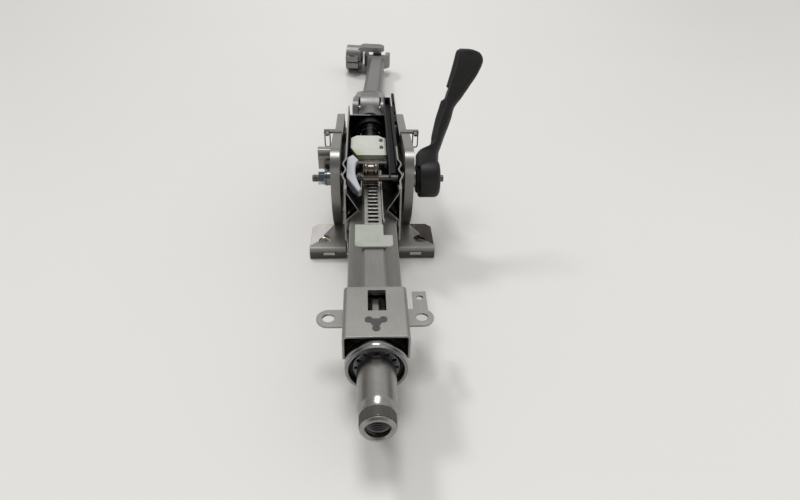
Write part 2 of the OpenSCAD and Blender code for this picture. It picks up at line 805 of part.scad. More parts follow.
// V-shaped leaf that presses on the upper bevel of the jacket
module clamp_leaf(side) color("silver") on_side(side) span_y(leaf_front, leaf_front + leaf_depth)
    bent_line([[leaf_x, house_top - free_gap], [leaf_x, house_top - leaf_knee],
        [leaf_tip - leaf_tip_drop, leaf_tip + leaf_tip_drop],
        [leaf_x, 2 * leaf_tip - leaf_x], [leaf_x, 0]], leaf_t);
module clamp_leaf_left() clamp_leaf(-1);
module clamp_leaf_right() clamp_leaf(1);

// Nylon arm on the left wall that arches over the clamp bolt: its side view and its plan
module arm_side() polygon([[arm_front, arm_foot_z], [arm_front + arm_w, arm_foot_z],
    [bolt_y - 2 * bolt_r, bolt_top], [bolt_y + 2 * bolt_r, bolt_top], [bolt_y + 4 * bolt_r, arm_tail_z],
    [arm_far, arm_tail_z], [arm_far, arm_tail_z + arm_t / 2], [bolt_y + 4 * bolt_r, bolt_top + arm_t + over],
    [bolt_y - 3 * bolt_r, bolt_top + arm_t], [arm_front, arm_foot_z + arm_t]]);
module arm_plan() polygon(concat([[-house_in, bolt_y - 4 * bolt_r], [-house_in, bolt_y + 8 * bolt_r],
    [arm_head / 2 - house_in, arm_far]], smooth([[arm_head - house_in, bolt_y + 6 * bolt_r],
    [arm_w - house_in, bolt_y + 3 * bolt_r], [arm_w - house_in, bolt_y - 3 * bolt_r],
    [arm_toe - house_in, arm_front + bolt_r]], curve_steps), [[arm_head - house_in, arm_front]]));
module guide_arm() color("aliceblue") intersection() {
    span_x(-house_in, 0) arm_side();
    span_z(arm_foot_z, house_top + arm_t) arm_plan();
}

// Nylon pads under the jacket
module slide_pads() color("ivory") for (y = pad_ys)
    translate([-rack_w / 2, y, floor_low + house_t]) cube([rack_w, pad_len, pad_t]);

// Flanged bushes for the tilt pivot
module pivot_bushes() color("ivory") at_pivot() both_sides() difference() {
    union() {
        rod_x(bush_r, house_in, house_out + over);
        rod_x(bush_flange_r, house_out, cheek_in - free_gap);
    }
    rod_x(pivot_r + run, house_in - over, cheek_in);
}

module bolt_ring(r, x0, x1) at_bolt() span_x(x0, x1) difference() {
    circle(r);
    circle(bolt_r + run);
}

module bolt_spacers() color("silver")
    both_sides() bolt_ring(2 * bolt_r, house_out + wave_depth + free_gap, cheek_in - free_gap);
module thrust_collar() color("lightsteelblue") bolt_ring(collar_r, free_gap - nut_x, -cheek_out - free_gap);

// Cam disc with three ramps
module fixed_cam() color("silver") {
    face = cheek_out + free_gap + cam_t;
    bolt_ring(cam_r, face - cam_t, face);
    for (a = [0, 120, 240]) at_bolt() rotate([a, 0, 0])
        translate([face, cam_r - ramp[0], -ramp[1] / 2] - [0, ramp_h, 0]) cube([ramp_h, ramp[0], ramp[1]]);
}
module moving_cam() color("gray") bolt_ring(cam_r, cheek_out + cam_t + ramp_h + 2 * free_gap, hub_x - fit);

// Black cable rail along the right wall, open at the top, with a lead-in nose over the bolt
module cable_rail() color("black") {
    low = house_top - rail_h;
    left = house_in - rail_w;
    difference() {
        translate([left, rail_front, low]) cube([rail_w, rail_end - rail_front, rail_h]);
        translate([left + rail_wall, rail_front - over, low + rail_wall])
            cube([rail_w - 2 * rail_wall, rail_end - rail_front + over - rail_wall, rail_h]);
    }
    span_x(left, left + rail_wall) polygon([[rail_front, bolt_top], [rail_front, house_top],
        [rail_front - nose_len, bolt_top + nose_t], [rail_front - nose_len, bolt_top]]);
}

// Slotted strip outside the right wall
module rail_cover() color("gray") span_z(house_top - cover_h, house_top) difference() {
    translate([house_out, cover_front]) square([cover_w, cover_end - cover_front]);
    for (y = cover_slot_ys) translate([house_out + cover_w / 2, y]) square(cover_slot, center = true);
}

// Wire spring round the bolt with a leg toward the rack
module pawl_spring() color("silver") at_bolt() {
    for (i = [0 : spring_turns - 1]) translate([spring_x - i * spring_pitch, 0, 0])
        revolve_x() translate([spring_coil_r, 0]) circle(d = spring_wire);
    translate([spring_x, -spring_coil_r, 0]) rotate([spring_leg_turn, 0, 0])
        cylinder(d = spring_wire, h = spring_leg);
}

// Outer ring of the lower bearing with its seal lip
module lower_bearing_outer() color("silver") {
    bearing_ring(low_bearing_od / 2, low_ball_pitch + low_race_gap, low_bearing_front, low_bearing_w,
        low_ball_pitch, low_ball_d);
    ring_y(low_ball_pitch + low_race_gap + fit, low_ball_pitch - low_race_gap + free_gap,
        low_bearing_front, low_bearing_front + seal_t);
}
module lower_bearing_balls() color("silver")
    ball_ring(low_ball_count, low_ball_pitch, low_bearing_front + low_bearing_w / 2, low_ball_d);
module lower_bearing_inner() color("silver") bearing_ring(low_ball_pitch - low_race_gap, journal_d / 2 + fit,
    low_bearing_front, low_bearing_w, low_ball_pitch, low_ball_d);

// Outline of a cheek above the feet, with its curved front, shoulder and top edge moved in by t
module cheek_outline(t) {
    intersection() {
        translate([cheek_front + front_r, bolt_z]) circle(front_r - t);
        translate([cheek_front, foot_z]) square([front_run + 2 * cheek_t, bolt_z - foot_z]);
    }
    translate([cheek_front + t, bolt_z]) square([front_run, shoulder_mid[1] - bolt_z]);
    translate(shoulder_mid) circle(shoulder_r - t);
    polygon(concat([[foot_y + t, foot_z], shoulder_mid,
        shoulder_mid + (shoulder_r - shoulder_bite - t) * [cos(shoulder_turn), sin(shoulder_turn)]],
        [for (p = cheek_step) p - [0, t]], [[pivot_y, foot_z]]));
}

module tilt_slot() translate([bolt_y, bolt_z]) rotate(slot_turn) {
    square([2 * slot_half, 2 * slot_r], center = true);
    for (s = [-1, 1]) translate([s * slot_half, 0]) circle(slot_r);
}

// Cheek plate with outward flange, tilt slot, pivot boss and a tab with a finger for the wire loop
module bracket_cheek(side) color("darkgray") on_side(side) {
    span_x(cheek_in, cheek_out) difference() {
        union() {
            intersection() {
                cheek_outline(0);
                polygon([[cheek_front - over, foot_z], [pivot_y - pivot_toe, foot_z],
                    [pivot_y, -pivot_boss_r], [pivot_y, shoulder_z + over],
                    [cheek_front - over, shoulder_z + over]]);
            }
            translate([pivot_y, 0]) circle(pivot_boss_r);
        }
        tilt_slot();
        translate([pivot_y, 0]) circle(pivot_r + fit);
    }
    span_x(cheek_out, flange_out) difference() {
        cheek_outline(0);
        cheek_outline(cheek_t);
        translate([foot_y + cheek_t, foot_z - over]) square([pivot_y, jr - foot_z]);
    }
    span_z(tab_z, tab_z + tab_t) {
        translate([cheek_in, tab_y]) square([tab_x - cheek_in, tab_len]);
        translate([finger_x - finger_w / 2, tab_y - finger_len]) square([finger_w, finger_len]);
    }
}
module bracket_cheek_left() bracket_cheek(-1);
module bracket_cheek_right() bracket_cheek(1);

// Foot gusset bent down into a slotted lip that stands on the ground
module bracket_foot(side) color("darkgray") on_side(side) {
    span_z(foot_z - foot_t, foot_z) difference() {
        polygon(concat([[inner_x, lip_y + bend_r], [wing_x, lip_y + bend_r]], scallop,
            [[flange_out, foot_y], [flange_out, foot_end], [cheek_in, foot_end], [cheek_in, foot_y],
            [inner_x, inner_back]]));
        translate([wing_hole_x, wing_hole_y]) circle(mount_hole_d / 2 + foot_t);
    }
    span_x(inner_x, wing_x) translate([lip_y + bend_r, foot_z - bend_r]) intersection() {
        difference() {
            circle(bend_r);
            circle(bend_r - foot_t);
        }
        translate([-bend_r, 0]) square(bend_r);
    }
    span_y(lip_y, lip_y + foot_t) difference() {
        translate([inner_x, floor_z]) square([wing_x - inner_x, foot_z - bend_r - floor_z]);
        translate([lip_slot_x, lip_slot_z]) square(lip_slot, center = true);
    }
}
module foot_left() bracket_foot(-1);
module foot_right() bracket_foot(1);

// Plated plate under the wings, dished in the middle, with a flange behind each lip
module base_plate() color("gainsboro") {
    depth = wing_end - plate_front;
    both_sides() {
        span_z(foot_z - foot_t - plate_t, foot_z - foot_t) difference() {
            polygon([[inner_x, plate_front], [wing_x, plate_front], [wing_x, wing_end - wing_cut],
                [wing_x - wing_cut, wing_end], [inner_x, wing_end]]);
            translate([wing_hole_x, wing_hole_y]) circle(d = mount_hole_d);
        }
        translate([inner_x, plate_front, floor_z]) cube([plate_t, depth, foot_z - foot_t - floor_z]);
        translate([inner_x, plate_front, floor_z + plate_t])
            cube([wing_x - wing_cut - inner_x, plate_t, foot_z - foot_t - plate_t - floor_z]);
    }
    translate([-inner_x, plate_front, floor_z]) cube([2 * inner_x, depth, plate_t]);
}

// Bridge that ties the cheeks at the back and carries two bolt holes
module rear_bridge() color("darkgray") {
    span_z(floor_z, floor_z + plate_t) difference() {
        translate([-cheek_out - plate_t, bridge_y]) square([2 * (cheek_out + plate_t), bridge_len]);
        for (s = [-1, 1]) translate([s * bridge_hole_x, bridge_hole_y]) circle(d = mount_hole_d);
    }
    both_sides() translate([cheek_out, bridge_y, floor_z]) cube([plate_t, bridge_ear_len, bridge_ear_h]);
}

// D-shaped ring, as a drawing
module eye_outline(r) {
    circle(r);
    translate([0, -r]) square([r, 2 * r]);
}

// Stop block outside the left cheek: a plate with two round ridges and an eye
module stop_block() color("dimgray") {
    face = stop_y + stop_len - stop_plate_t;
    translate([-stop_x, face, stop_z]) cube([stop_x - cheek_out, stop_plate_t, stop_h]);
    for (z = ridge_zs) translate([0, face, z]) rod_x(ridge_r, -stop_x, -cheek_out);
    span_y(stop_y, face) translate([-eye_x, stop_z + eye_r + over]) difference() {
        eye_outline(eye_r);
        eye_outline(eye_r - eye_wall);
    }
}

module pivot_bolts() color("silver") at_pivot() both_sides() {
    rod_x(pivot_r, house_in + free_gap, cheek_out);
    span_x(cheek_out, cheek_out + pivot_head_h) circle(d = pivot_head_af / cos(30), $fn = 6);
}

// Wire link that hangs on the finger: two half rings and two straight wires
module half_ring(up) intersection() {
    revolve_y() translate([loop_r, 0]) circle(d = loop_wire);
    translate([0, 0, up * loop_r]) cube([4 * loop_r, 2 * loop_r, 2 * loop_r], center = true);
}
module spring_loop(side) color("silver") on_side(side) translate([finger_x, loop_y, tab_z + tab_t]) {
    half_ring(1);
    for (s = [-1, 1]) translate([s * loop_r, 0, -loop_drop]) cylinder(d = loop_wire, h = loop_drop);
    translate([0, 0, -loop_drop]) half_ring(-1);
}
module spring_loop_left() spring_loop(-1);
module spring_loop_right() spring_loop(1);

module clamp_bolt() color("dimgray") at_bolt() rod_x(bolt_r, -bolt_left, bolt_right);

module clamp_nut() color("lightsteelblue") at_bolt() difference() {
    union() {
        span_x(-nut_x - nut_h, -nut_x) circle(d = nut_af / cos(30), $fn = 6);
        rod_x(nut_af / 2 + nut_flange, -nut_x - nut_flange, -nut_x);
    }
    rod_x(bolt_r + fit, -nut_x - nut_h - over, over - nut_x);
}

// Half section of the spool: a barrel between two rounded rings
module spool_section() {
    translate([0, -pawl_w / 2]) square([lobe_r - spool_ring_r / 2, pawl_w]);
    for (s = [-1, 1]) translate([lobe_r - spool_ring_r, s * (pawl_w / 2 - spool_ring_r)])
        circle(spool_ring_r);
}

// Pawl cam with a spool above the bolt and a blunt tooth over the rack
module pawl_cam() color("darkgoldenrod") at_bolt() translate([pawl_x, 0, 0]) difference() {
    union() {
        span_x(-pawl_w / 2, pawl_w / 2) {
            circle(pawl_r - free_gap);
            polygon(tooth);
        }
        translate([0, lobe_y, lobe_z]) revolve_x() spool_section();
    }
    rod_x(bolt_r + fit, -pawl_w, pawl_w);
}

// Outline of the lever arm, as sideways place and distance from the bolt
module lever_outline() polygon(concat(smooth([for (s = lever_stations) [hub_x + s[1], s[0]]], curve_steps),
    reversed(smooth([for (s = lever_stations) [hub_x + s[2], s[0]]], curve_steps))));
// Side view of the lever arm, as distance from the bolt and depth
module lever_side() polygon(concat([[0, -lever_depth[0]]],
    [for (i = [0 : 2]) [lever_reach[i], -lever_depth[i]]],
    [[lever_end, -lever_depth[3]], [lever_end, lever_depth[3]]],
    [for (i = [2 : -1 : 0]) [lever_reach[i], lever_depth[i]]], [[0, lever_depth[0]]]));

// Moulded lever: round hub and a flat arm that leans outward and widens to a paddle
module clamp_lever() color("black") at_bolt() difference() {
    union() {
        revolve_x() polygon([[0, hub_x], [hub_r - hub_edge, hub_x], [hub_r, hub_x + hub_edge],
            [hub_r, hub_end - hub_round], [hub_r - hub_round, hub_end], [0, hub_end]]);
        rotate([lever_slope, 0, 0]) intersection() {
            span_z(-lever_depth[0] - over, lever_depth[0] + over) lever_outline();
            span_x(hub_x - over, hub_x + lever_end) lever_side();
        }
    }
    rod_x(bolt_r + fit, hub_x - over, hub_end + over);
}

// Lower shaft: double-D slider, bearing journal and yoke seat
module lower_shaft() color("gray") {
    span_y(slider_front, journal_front) double_d(slider_d, slider_flat);
    rod_y(journal_d / 2, journal_front, shaft_rear);
}

// Rectangle open to +Y with a rounded back, as a drawing in YZ
module rounded_back(depth, half, r, front) {
    translate([r - depth, -half]) square([depth - r + front, 2 * half]);
    translate([-depth, r - half]) square([depth + front, 2 * (half - r)]);
    for (s = [-1, 1]) translate([r - depth, s * (half - r)]) circle(r);
}

// Fork with round ears above and below the joint centre and its back, of half width band, toward -Y
module fork(depth, r, band) difference() {
    intersection() {
        span_x(-band, band) difference() {
            rounded_back(depth + fork_back, yo, min(r + fork_back, yo - fit), yoke_ear_r);
            rounded_back(depth, yi, r, yoke_ear_r + over);
        }
        span_z(-yo, yo) {
            circle(yoke_ear_r);
            polygon([[-yoke_ear_r, 0], [-yoke_ear_r, -band_front], [-band, -band_full],
                [-band, -depth - fork_back], [band, -depth - fork_back], [band, -band_full],
                [yoke_ear_r, -band_front], [yoke_ear_r, 0]]);
        }
    }
    cylinder(d = cup_d + 2 * fit, h = 3 * yo, center = true);
}

// Neck behind a fork that takes the intermediate tube
module neck() span_y(-mid_front, -fork_depth - neck_sink) rotate(90) double_d(mid_tube_d, mid_tube_flat);

// Two bearing cups on the Z axis of a fork
module fork_cups() for (turn = [0, 180]) rotate([turn, 0, 0])
    translate([0, 0, yi - cup_rise]) difference() {
        cup_h = yoke_ear_t + cup_rise - cup_sink;
        cylinder(d = cup_d, h = cup_h);
        translate([0, 0, -over]) cylinder(d = cross_pin_d + 2 * run, h = cup_h - cup_floor + over);
    }

// Cross with four pins, along Z and X
module cross_piece() for (turn = [[0, 0, 0], [0, 90, 0]]) rotate(turn) {
    cylinder(d = cross_pin_d, h = 2 * cross_half, center = true);
    cylinder(r = cross_body_r, h = 2 * (yi - cross_body_gap), center = true);
}

module at_upper_joint() translate([0, joint_y, 0]) children();
module on_mid_shaft() at_upper_joint() rotate([-lean_down, 0, -lean_side]) children();
module at_lower_joint() translate(joint2) rotate([0, 0, -lean_side]) children();

// Fork of the lower shaft with its hub
module upper_input_yoke() color("darkgray") at_upper_joint() difference() {
    union() {
        fork(fork_depth, yi - fit, yoke_ear_r);
        rod_y(hub_od / 2, hub_front - joint_y, -fork_depth - neck_sink);
    }
    rod_y(journal_d / 2 + fit, hub_front - joint_y - over, shaft_rear - joint_y + fit);
}
module upper_input_cups() color("silver") at_upper_joint() fork_cups();
module upper_cross() color("gray") at_upper_joint() rotate([0, 0, -lean_side]) cross_piece();

module upper_output_yoke() color("darkgray") on_mid_shaft() rotate([0, 0, 180]) {
    rotate([0, 90, 0]) fork(fork_depth, yi - fit, yoke_band);
    neck();
}
module upper_output_cups() color("silver") on_mid_shaft() rotate([0, 90, 0]) fork_cups();

module intermediate_tube() color("darkgray") on_mid_shaft() span_y(mid_front, joint_span - mid_front)
    rotate(90) difference() {
        double_d(mid_tube_d, mid_tube_flat);
        double_d(mid_tube_d - 2 * mid_wall, mid_tube_flat - 2 * mid_wall);
    }

module lower_input_yoke() color("darkgray") on_mid_shaft() translate([0, joint_span, 0]) {
    rotate([0, 90, 0]) fork(fork_depth, yi - fit, lower_band);
    neck();
}
module lower_input_cups() color("silver") on_mid_shaft() translate([0, joint_span, 0])
    rotate([0, 90, 0]) fork_cups();
module lower_cross() color("gray") at_lower_joint() cross_piece();

module folded() at_lower_joint() rotate([0, 0, fold_angle]) children();

// Clamp yoke at the gear end: long fork, slotted hub and pinch lugs
module lower_clamp_yoke() color("darkgray") folded() difference() {
    union() {
        rotate([0, 0, 180]) fork(clamp_depth, clamp_round, yoke_ear_r);
        rod_y(clamp_hub_d / 2, clamp_depth, clamp_depth + clamp_hub_len);
        translate([-lug_x, clamp_depth + lug_front, -lug_h / 2])
            cube([lug_x, clamp_hub_len - lug_front - lug_back, lug_h]);
    }
    rod_y(clamp_bore_d / 2, 0, clamp_depth + clamp_hub_len + over);
    translate([-lug_x - over, clamp_depth - over, -slit / 2])
        cube([lug_x + over, clamp_hub_len + 2 * over, slit]);
    translate([pinch_x - lug_x, clamp_depth + (clamp_hub_len + lug_front - lug_back) / 2, 0])
        cylinder(d = pinch_d, h = 3 * yo, center = true);
}
module lower_clamp_cups() color("silver") folded() fork_cups();

steering_shaft();
upper_bearing_inner();
bearing_retainer();
lock_sleeve();
jacket_tube();
upper_bearing_outer();
upper_bearing_balls();
switch_bracket();
stake_mark();
rack_strip();
rack_clip();
absorber_strip();
absorber_carrier();
absorber_block();
swing_housing();
clamp_leaf_left();
clamp_leaf_right();
guide_arm();
slide_pads();
pivot_bushes();
bolt_spacers();
thrust_collar();
fixed_cam();
cable_rail();
rail_cover();
pawl_spring();
lower_bearing_outer();
lower_bearing_balls();
bracket_cheek_left();
bracket_cheek_right();
foot_left();
foot_right();
base_plate();
rear_bridge();
stop_block();
pivot_bolts();
spring_loop_left();
spring_loop_right();
clamp_bolt();
clamp_nut();
pawl_cam();
moving_cam();
clamp_lever();
lower_shaft();
lower_bearing_inner();
upper_input_yoke();
upper_input_cups();
upper_cross();
upper_output_yoke();
upper_output_cups();
intermediate_tube();
lower_input_yoke();
lower_input_cups();
lower_cross();
lower_clamp_yoke();
lower_clamp_cups();
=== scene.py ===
"""Looks for an adjustable steering column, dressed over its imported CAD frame."""

import json
import math

import bmesh
import bpy
from mathutils import Matrix, Vector


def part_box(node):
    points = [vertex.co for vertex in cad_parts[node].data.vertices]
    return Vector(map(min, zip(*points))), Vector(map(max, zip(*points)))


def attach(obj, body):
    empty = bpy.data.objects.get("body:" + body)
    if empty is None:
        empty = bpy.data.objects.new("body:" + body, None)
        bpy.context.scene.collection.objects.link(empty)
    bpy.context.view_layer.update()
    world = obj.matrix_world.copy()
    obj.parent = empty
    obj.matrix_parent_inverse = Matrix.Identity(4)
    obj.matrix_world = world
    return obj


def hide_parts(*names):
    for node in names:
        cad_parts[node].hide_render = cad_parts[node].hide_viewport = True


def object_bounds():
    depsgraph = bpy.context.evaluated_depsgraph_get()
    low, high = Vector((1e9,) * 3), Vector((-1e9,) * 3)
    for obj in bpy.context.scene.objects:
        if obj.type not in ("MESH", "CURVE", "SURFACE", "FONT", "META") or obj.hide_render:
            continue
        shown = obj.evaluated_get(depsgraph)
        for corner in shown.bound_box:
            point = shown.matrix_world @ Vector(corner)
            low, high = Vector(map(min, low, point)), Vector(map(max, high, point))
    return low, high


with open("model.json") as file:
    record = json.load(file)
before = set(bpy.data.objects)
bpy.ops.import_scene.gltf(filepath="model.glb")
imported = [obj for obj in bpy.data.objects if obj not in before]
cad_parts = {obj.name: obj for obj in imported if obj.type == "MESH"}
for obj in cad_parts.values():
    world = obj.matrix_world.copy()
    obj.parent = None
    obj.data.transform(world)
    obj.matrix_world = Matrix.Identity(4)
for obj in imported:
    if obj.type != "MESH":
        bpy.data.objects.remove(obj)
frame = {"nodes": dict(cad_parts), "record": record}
CAD_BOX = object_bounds()

bl_info = {
    "name": "Steering column looks",
    "version": (1, 0, 0),
    "blender": (4, 5, 0),
    "location": "View3D > Sidebar > Column",
    "description": "Finishes, fine detail and studio for a steering column",
    "category": "Object",
}

MM = 0.001
NODES = frame["nodes"]
JOINT_POINTS = {j["name"]: Vector(j["pos_m"]) for j in frame["record"]["behaviour"]["joints"]
                if "pos_m" in j}
X_AXIS, Y_AXIS, Z_AXIS = Vector((1, 0, 0)), Vector((0, 1, 0)), Vector((0, 0, 1))

# Lever arm, in mm: distance from the bolt, left and right edge beyond the hub's inner face,
# half its thickness, and how far its left flank leans in
LEVER_STATIONS = (
    (8, 0.6, 21.2, 15.5, 0.8), (16, 0.6, 21.4, 13.5, 1.0), (23, 1.6, 21.8, 11.0, 1.6),
    (27.5, 8.5, 23.4, 9.4, 2.6), (32, 14.2, 25.0, 8.2, 3.4), (39, 15.2, 27.6, 7.4, 4.2),
    (47, 17.0, 30.9, 6.9, 4.6), (56, 19.2, 34.2, 6.5, 5.2), (65, 22.2, 36.8, 6.1, 6.2),
    (71.8, 24.4, 41.6, 5.9, 4.2), (73.4, 27.2, 43.0, 5.7, 1.8), (79, 29.2, 47.0, 5.5, 1.8),
    (84, 31.0, 50.6, 5.4, 1.6), (85.6, 29.6, 51.6, 5.3, 3.4), (89, 30.6, 54.0, 5.2, 3.6),
    (97, 33.1, 59.4, 5.0, 3.9), (107, 36.0, 64.3, 4.6, 3.6), (113, 37.6, 64.8, 4.2, 3.0),
    (117.4, 38.8, 62.2, 3.6, 2.6), (119.6, 40.0, 57.6, 2.8, 2.2), (120.6, 42.0, 53.6, 1.4, 1.6))
LEVER_LEAN = math.radians(50)
# The lever's seam, in mm: its ends along the lever, and its place off the crease, to the right and up
SEAM_REACH, SEAM_OFFSET = (36, 117), (0.1, -0.15)
# The lever's thumb dish: where it starts, is full, is full no longer and ends, in mm along the lever,
# and its depth as a share of half the thickness
DISH_REACH, DISH_DEPTH = (78, 92, 114, 119), 0.25
# The housing's bare edges, in mm: above its bearing boss, ahead of its far wall, and ahead of its rail
BARE_LIMITS = (20.5, 380, 285)
# Ends of the intermediate tube's welds from the joints' centres
WELD_NECK = 33.5 * MM
# Camera: its place, its pitch, yaw and roll in degrees, and its lens in mm
CAMERA_PLACE = Vector((-6.42, -212.552, 268.883)) * MM
CAMERA_ANGLES = (35.231, 4.257, -2.072)
CAMERA_LENS = 25.51
# Light of the room: a warm white, and factors that grow along an axis of view, from a start to an end
ROOM_TINT = (1.0, 0.992, 0.98, 1.0)
ROOM = (("Z", 0.0, 0.55, 0.2, 0.62), ("Y", -0.8, 0.8, 0.42, 1.3), ("X", -0.8, 0.8, 0.7, 1.12))
# Lamps: name, energy, width, lean and side angle in degrees, and whether gloss mirrors them
LAMPS = (("ceiling_lamp", 0.95, 20, -12, -1, True), ("left_lamp", 0.8, 10, -32, -30, False))
# Strength of the pale backdrop, and of its darker part that gloss sees
PALE, SHADED = 0.84, 0.24


def linear(hex_colour):
    """An sRGB hex colour as linear red, green, blue and alpha."""
    parts = [int(hex_colour[i:i + 2], 16) / 255 for i in (1, 3, 5)]
    return [c / 12.92 if c <= 0.04045 else ((c + 0.055) / 1.055) ** 2.4 for c in parts] + [1.0]


def per_mm(size):
    """Texture scale, in patterns per metre, for a pattern of that size in millimetres."""
    return 1 / (size * MM)


def add(tree, kind, inputs=None, **settings):
    """Add one shader node with its settings, socket values and links."""
    node = tree.nodes.new(kind)
    for key, value in settings.items():
        setattr(node, key, value)
    for key, value in (inputs or {}).items():
        if isinstance(value, bpy.types.NodeSocket):
            tree.links.new(value, node.inputs[key])
        else:
            node.inputs[key].default_value = value
    return node


def colour_prop(name, words, hex_colour):
    """A colour that a user may change."""
    return bpy.props.FloatVectorProperty(name=name, description=words, subtype="COLOR", size=4,
                                         min=0.0, max=1.0, default=linear(hex_colour))


def length_prop(name, words, millimetres):
    """A length that a user may change."""
    return bpy.props.FloatProperty(name=name, description=words, unit="LENGTH", min=0.0,
                                   precision=5, default=millimetres * MM)


class ColumnSizes(bpy.types.PropertyGroup):
    """Sizes of the fine detail that is added to the CAD solids."""

    edge: length_prop("Edge round", "Rounding on sheet metal edges", 0.35)
    fine_edge: length_prop("Fine edge round", "Rounding on thin sheet and ground parts", 0.2)
    small_edge: length_prop("Small edge round", "Rounding on coated sheet and small mouldings", 0.4)
    soft_edge: length_prop("Forged edge round", "Rounding on forged and moulded edges", 1.2)
    spline_teeth: bpy.props.IntProperty(name="Spline teeth", description="Teeth round the wheel spline",
                                        default=72)
    spline_height: length_prop("Spline height", "Height of a spline tooth", 0.12)
    wheel_pitch: length_prop("Wheel thread pitch", "Pitch of the thread in the shaft's end", 1.5)
    bolt_pitch: length_prop("Bolt pitch", "Pitch of the clamp bolt's thread", 1.0)
    rim_proud: length_prop("Rim height", "How far the rolled rim stands out of the jacket", 0.4)
    weld: length_prop("Weld bead", "Radius of the weld beads on the intermediate shaft", 1.1)


class ColumnColours(bpy.types.PropertyGroup):
    """Base colours of the finishes."""

    table: colour_prop("Table", "Plain pale table top", "#eae8e5")
    jacket: colour_prop("Jacket steel", "Drawn steel tube", "#979692")
    box: colour_prop("Box steel", "Pressed sheet of the switch bracket", "#a3a19d")
    bracket: colour_prop("Bracket steel", "Pressed bracket sheet", "#8f8e8a")
    foot: colour_prop("Foot steel", "Dry pressed foot sheet", "#aeaca7")
    shaft: colour_prop("Shaft steel", "Turned steel", "#9a9894")
    spline: colour_prop("Spline steel", "Rolled spline, dull", "#63615f")
    forged: colour_prop("Forged steel", "Forged and shot-blasted steel", "#8b8a88")
    bright: colour_prop("Bright steel", "Ground bearing steel", "#bcc2c6")
    retainer: colour_prop("Spring steel", "Hardened star ring", "#6a6f71")
    bare: colour_prop("Bare steel", "Sheared edges of coated sheet", "#a9a7a2")
    galvanised: colour_prop("Galvanised sheet", "Rack, energy strip and carrier", "#aeaca7")
    # Painted dark reflection of the lever on the right wing, and painted shade on the lips of the feet, in
    # one brown
    painted_dark_reflection: colour_prop("Brown oxide", "Oxide on the right wing and oil film on the lips", "#2e2a25")
    zinc: colour_prop("Zinc plate", "Bright zinc plating", "#e6e2e0")
    passivated: colour_prop("Yellow film", "Yellow passivate left on the zinc", "#b79a55")
    blue_zinc: colour_prop("Blue zinc", "Blue passivated zinc of the nut", "#70767b")
    dark: colour_prop("Phosphated steel", "Dark phosphated sheet", "#202020")
    oiled: colour_prop("Oiled steel", "Blackened bolt steel", "#6a6667")
    stop: colour_prop("Stop steel", "Sintered stop block", "#a5a29c")
    pawl: colour_prop("Hardened steel", "Oil-quenched pawl steel", "#7a7268")
    clip: colour_prop("Clip nylon", "Natural nylon of the rack clip", "#b2b6ac")
    aged_nylon: colour_prop("Aged nylon", "Greenish nylon of the absorber block", "#d2d4ca")
    cool_nylon: colour_prop("Cool nylon", "White nylon of the guide arm", "#c6c8ce")
    aged_corner: colour_prop("Aged corner", "Yellowed corner of the absorber block", "#a9a866")
    # Painted shade: a darker, bluer colour that fades from the guide arm's low corner
    painted_arm_shade: colour_prop("Cool corner", "Bluer end of the guide arm", "#b9bdcc")
    plastic: colour_prop("Black plastic", "Glass-filled nylon of the lever", "#101110")
    rail: colour_prop("Rail plastic", "Matt black cable rail", "#161616")
    rubber: colour_prop("Rubber", "Black nitrile of the bearing seal", "#121212")


def sizes():
    """The sizes as they are set now."""
    return bpy.context.scene.column_sizes


def colours():
    """The colours as they are set now."""
    return bpy.context.scene.column_colours


def shade(colour, factor):
    """The same colour, lighter or darker."""
    return [min(1.0, c * factor) for c in colour[:3]] + [1.0]


def new_finish(name):
    """A new material with its node tree and its shader."""
    material = bpy.data.materials.new(name)
    material.use_nodes = True
    return material, material.node_tree, material.node_tree.nodes["Principled BSDF"]


def connect(tree, shader, colour, matt, bump):
    """Link a finish's colour, roughness and bump to its shader."""
    tree.links.new(colour.outputs[2], shader.inputs["Base Color"])
    tree.links.new(matt.outputs["Result"], shader.inputs["Roughness"])
    tree.links.new(bump.outputs["Normal"], shader.inputs["Normal"])


def rubbed_edges(tree, width_mm):
    """Mask that is 1 along convex and concave edges and 0 on flat faces."""
    round_normal = add(tree, "ShaderNodeBevel", {"Radius": width_mm * MM}, samples=4)
    flat_normal = add(tree, "ShaderNodeNewGeometry")
    agree = add(tree, "ShaderNodeVectorMath", {0: round_normal.outputs["Normal"],
                                               1: flat_normal.outputs["Normal"]}, operation="DOT_PRODUCT")
    return add(tree, "ShaderNodeMapRange", {"Value": agree.outputs["Value"], "From Min": 0.985,
                                            "From Max": 0.80}).outputs["Result"]


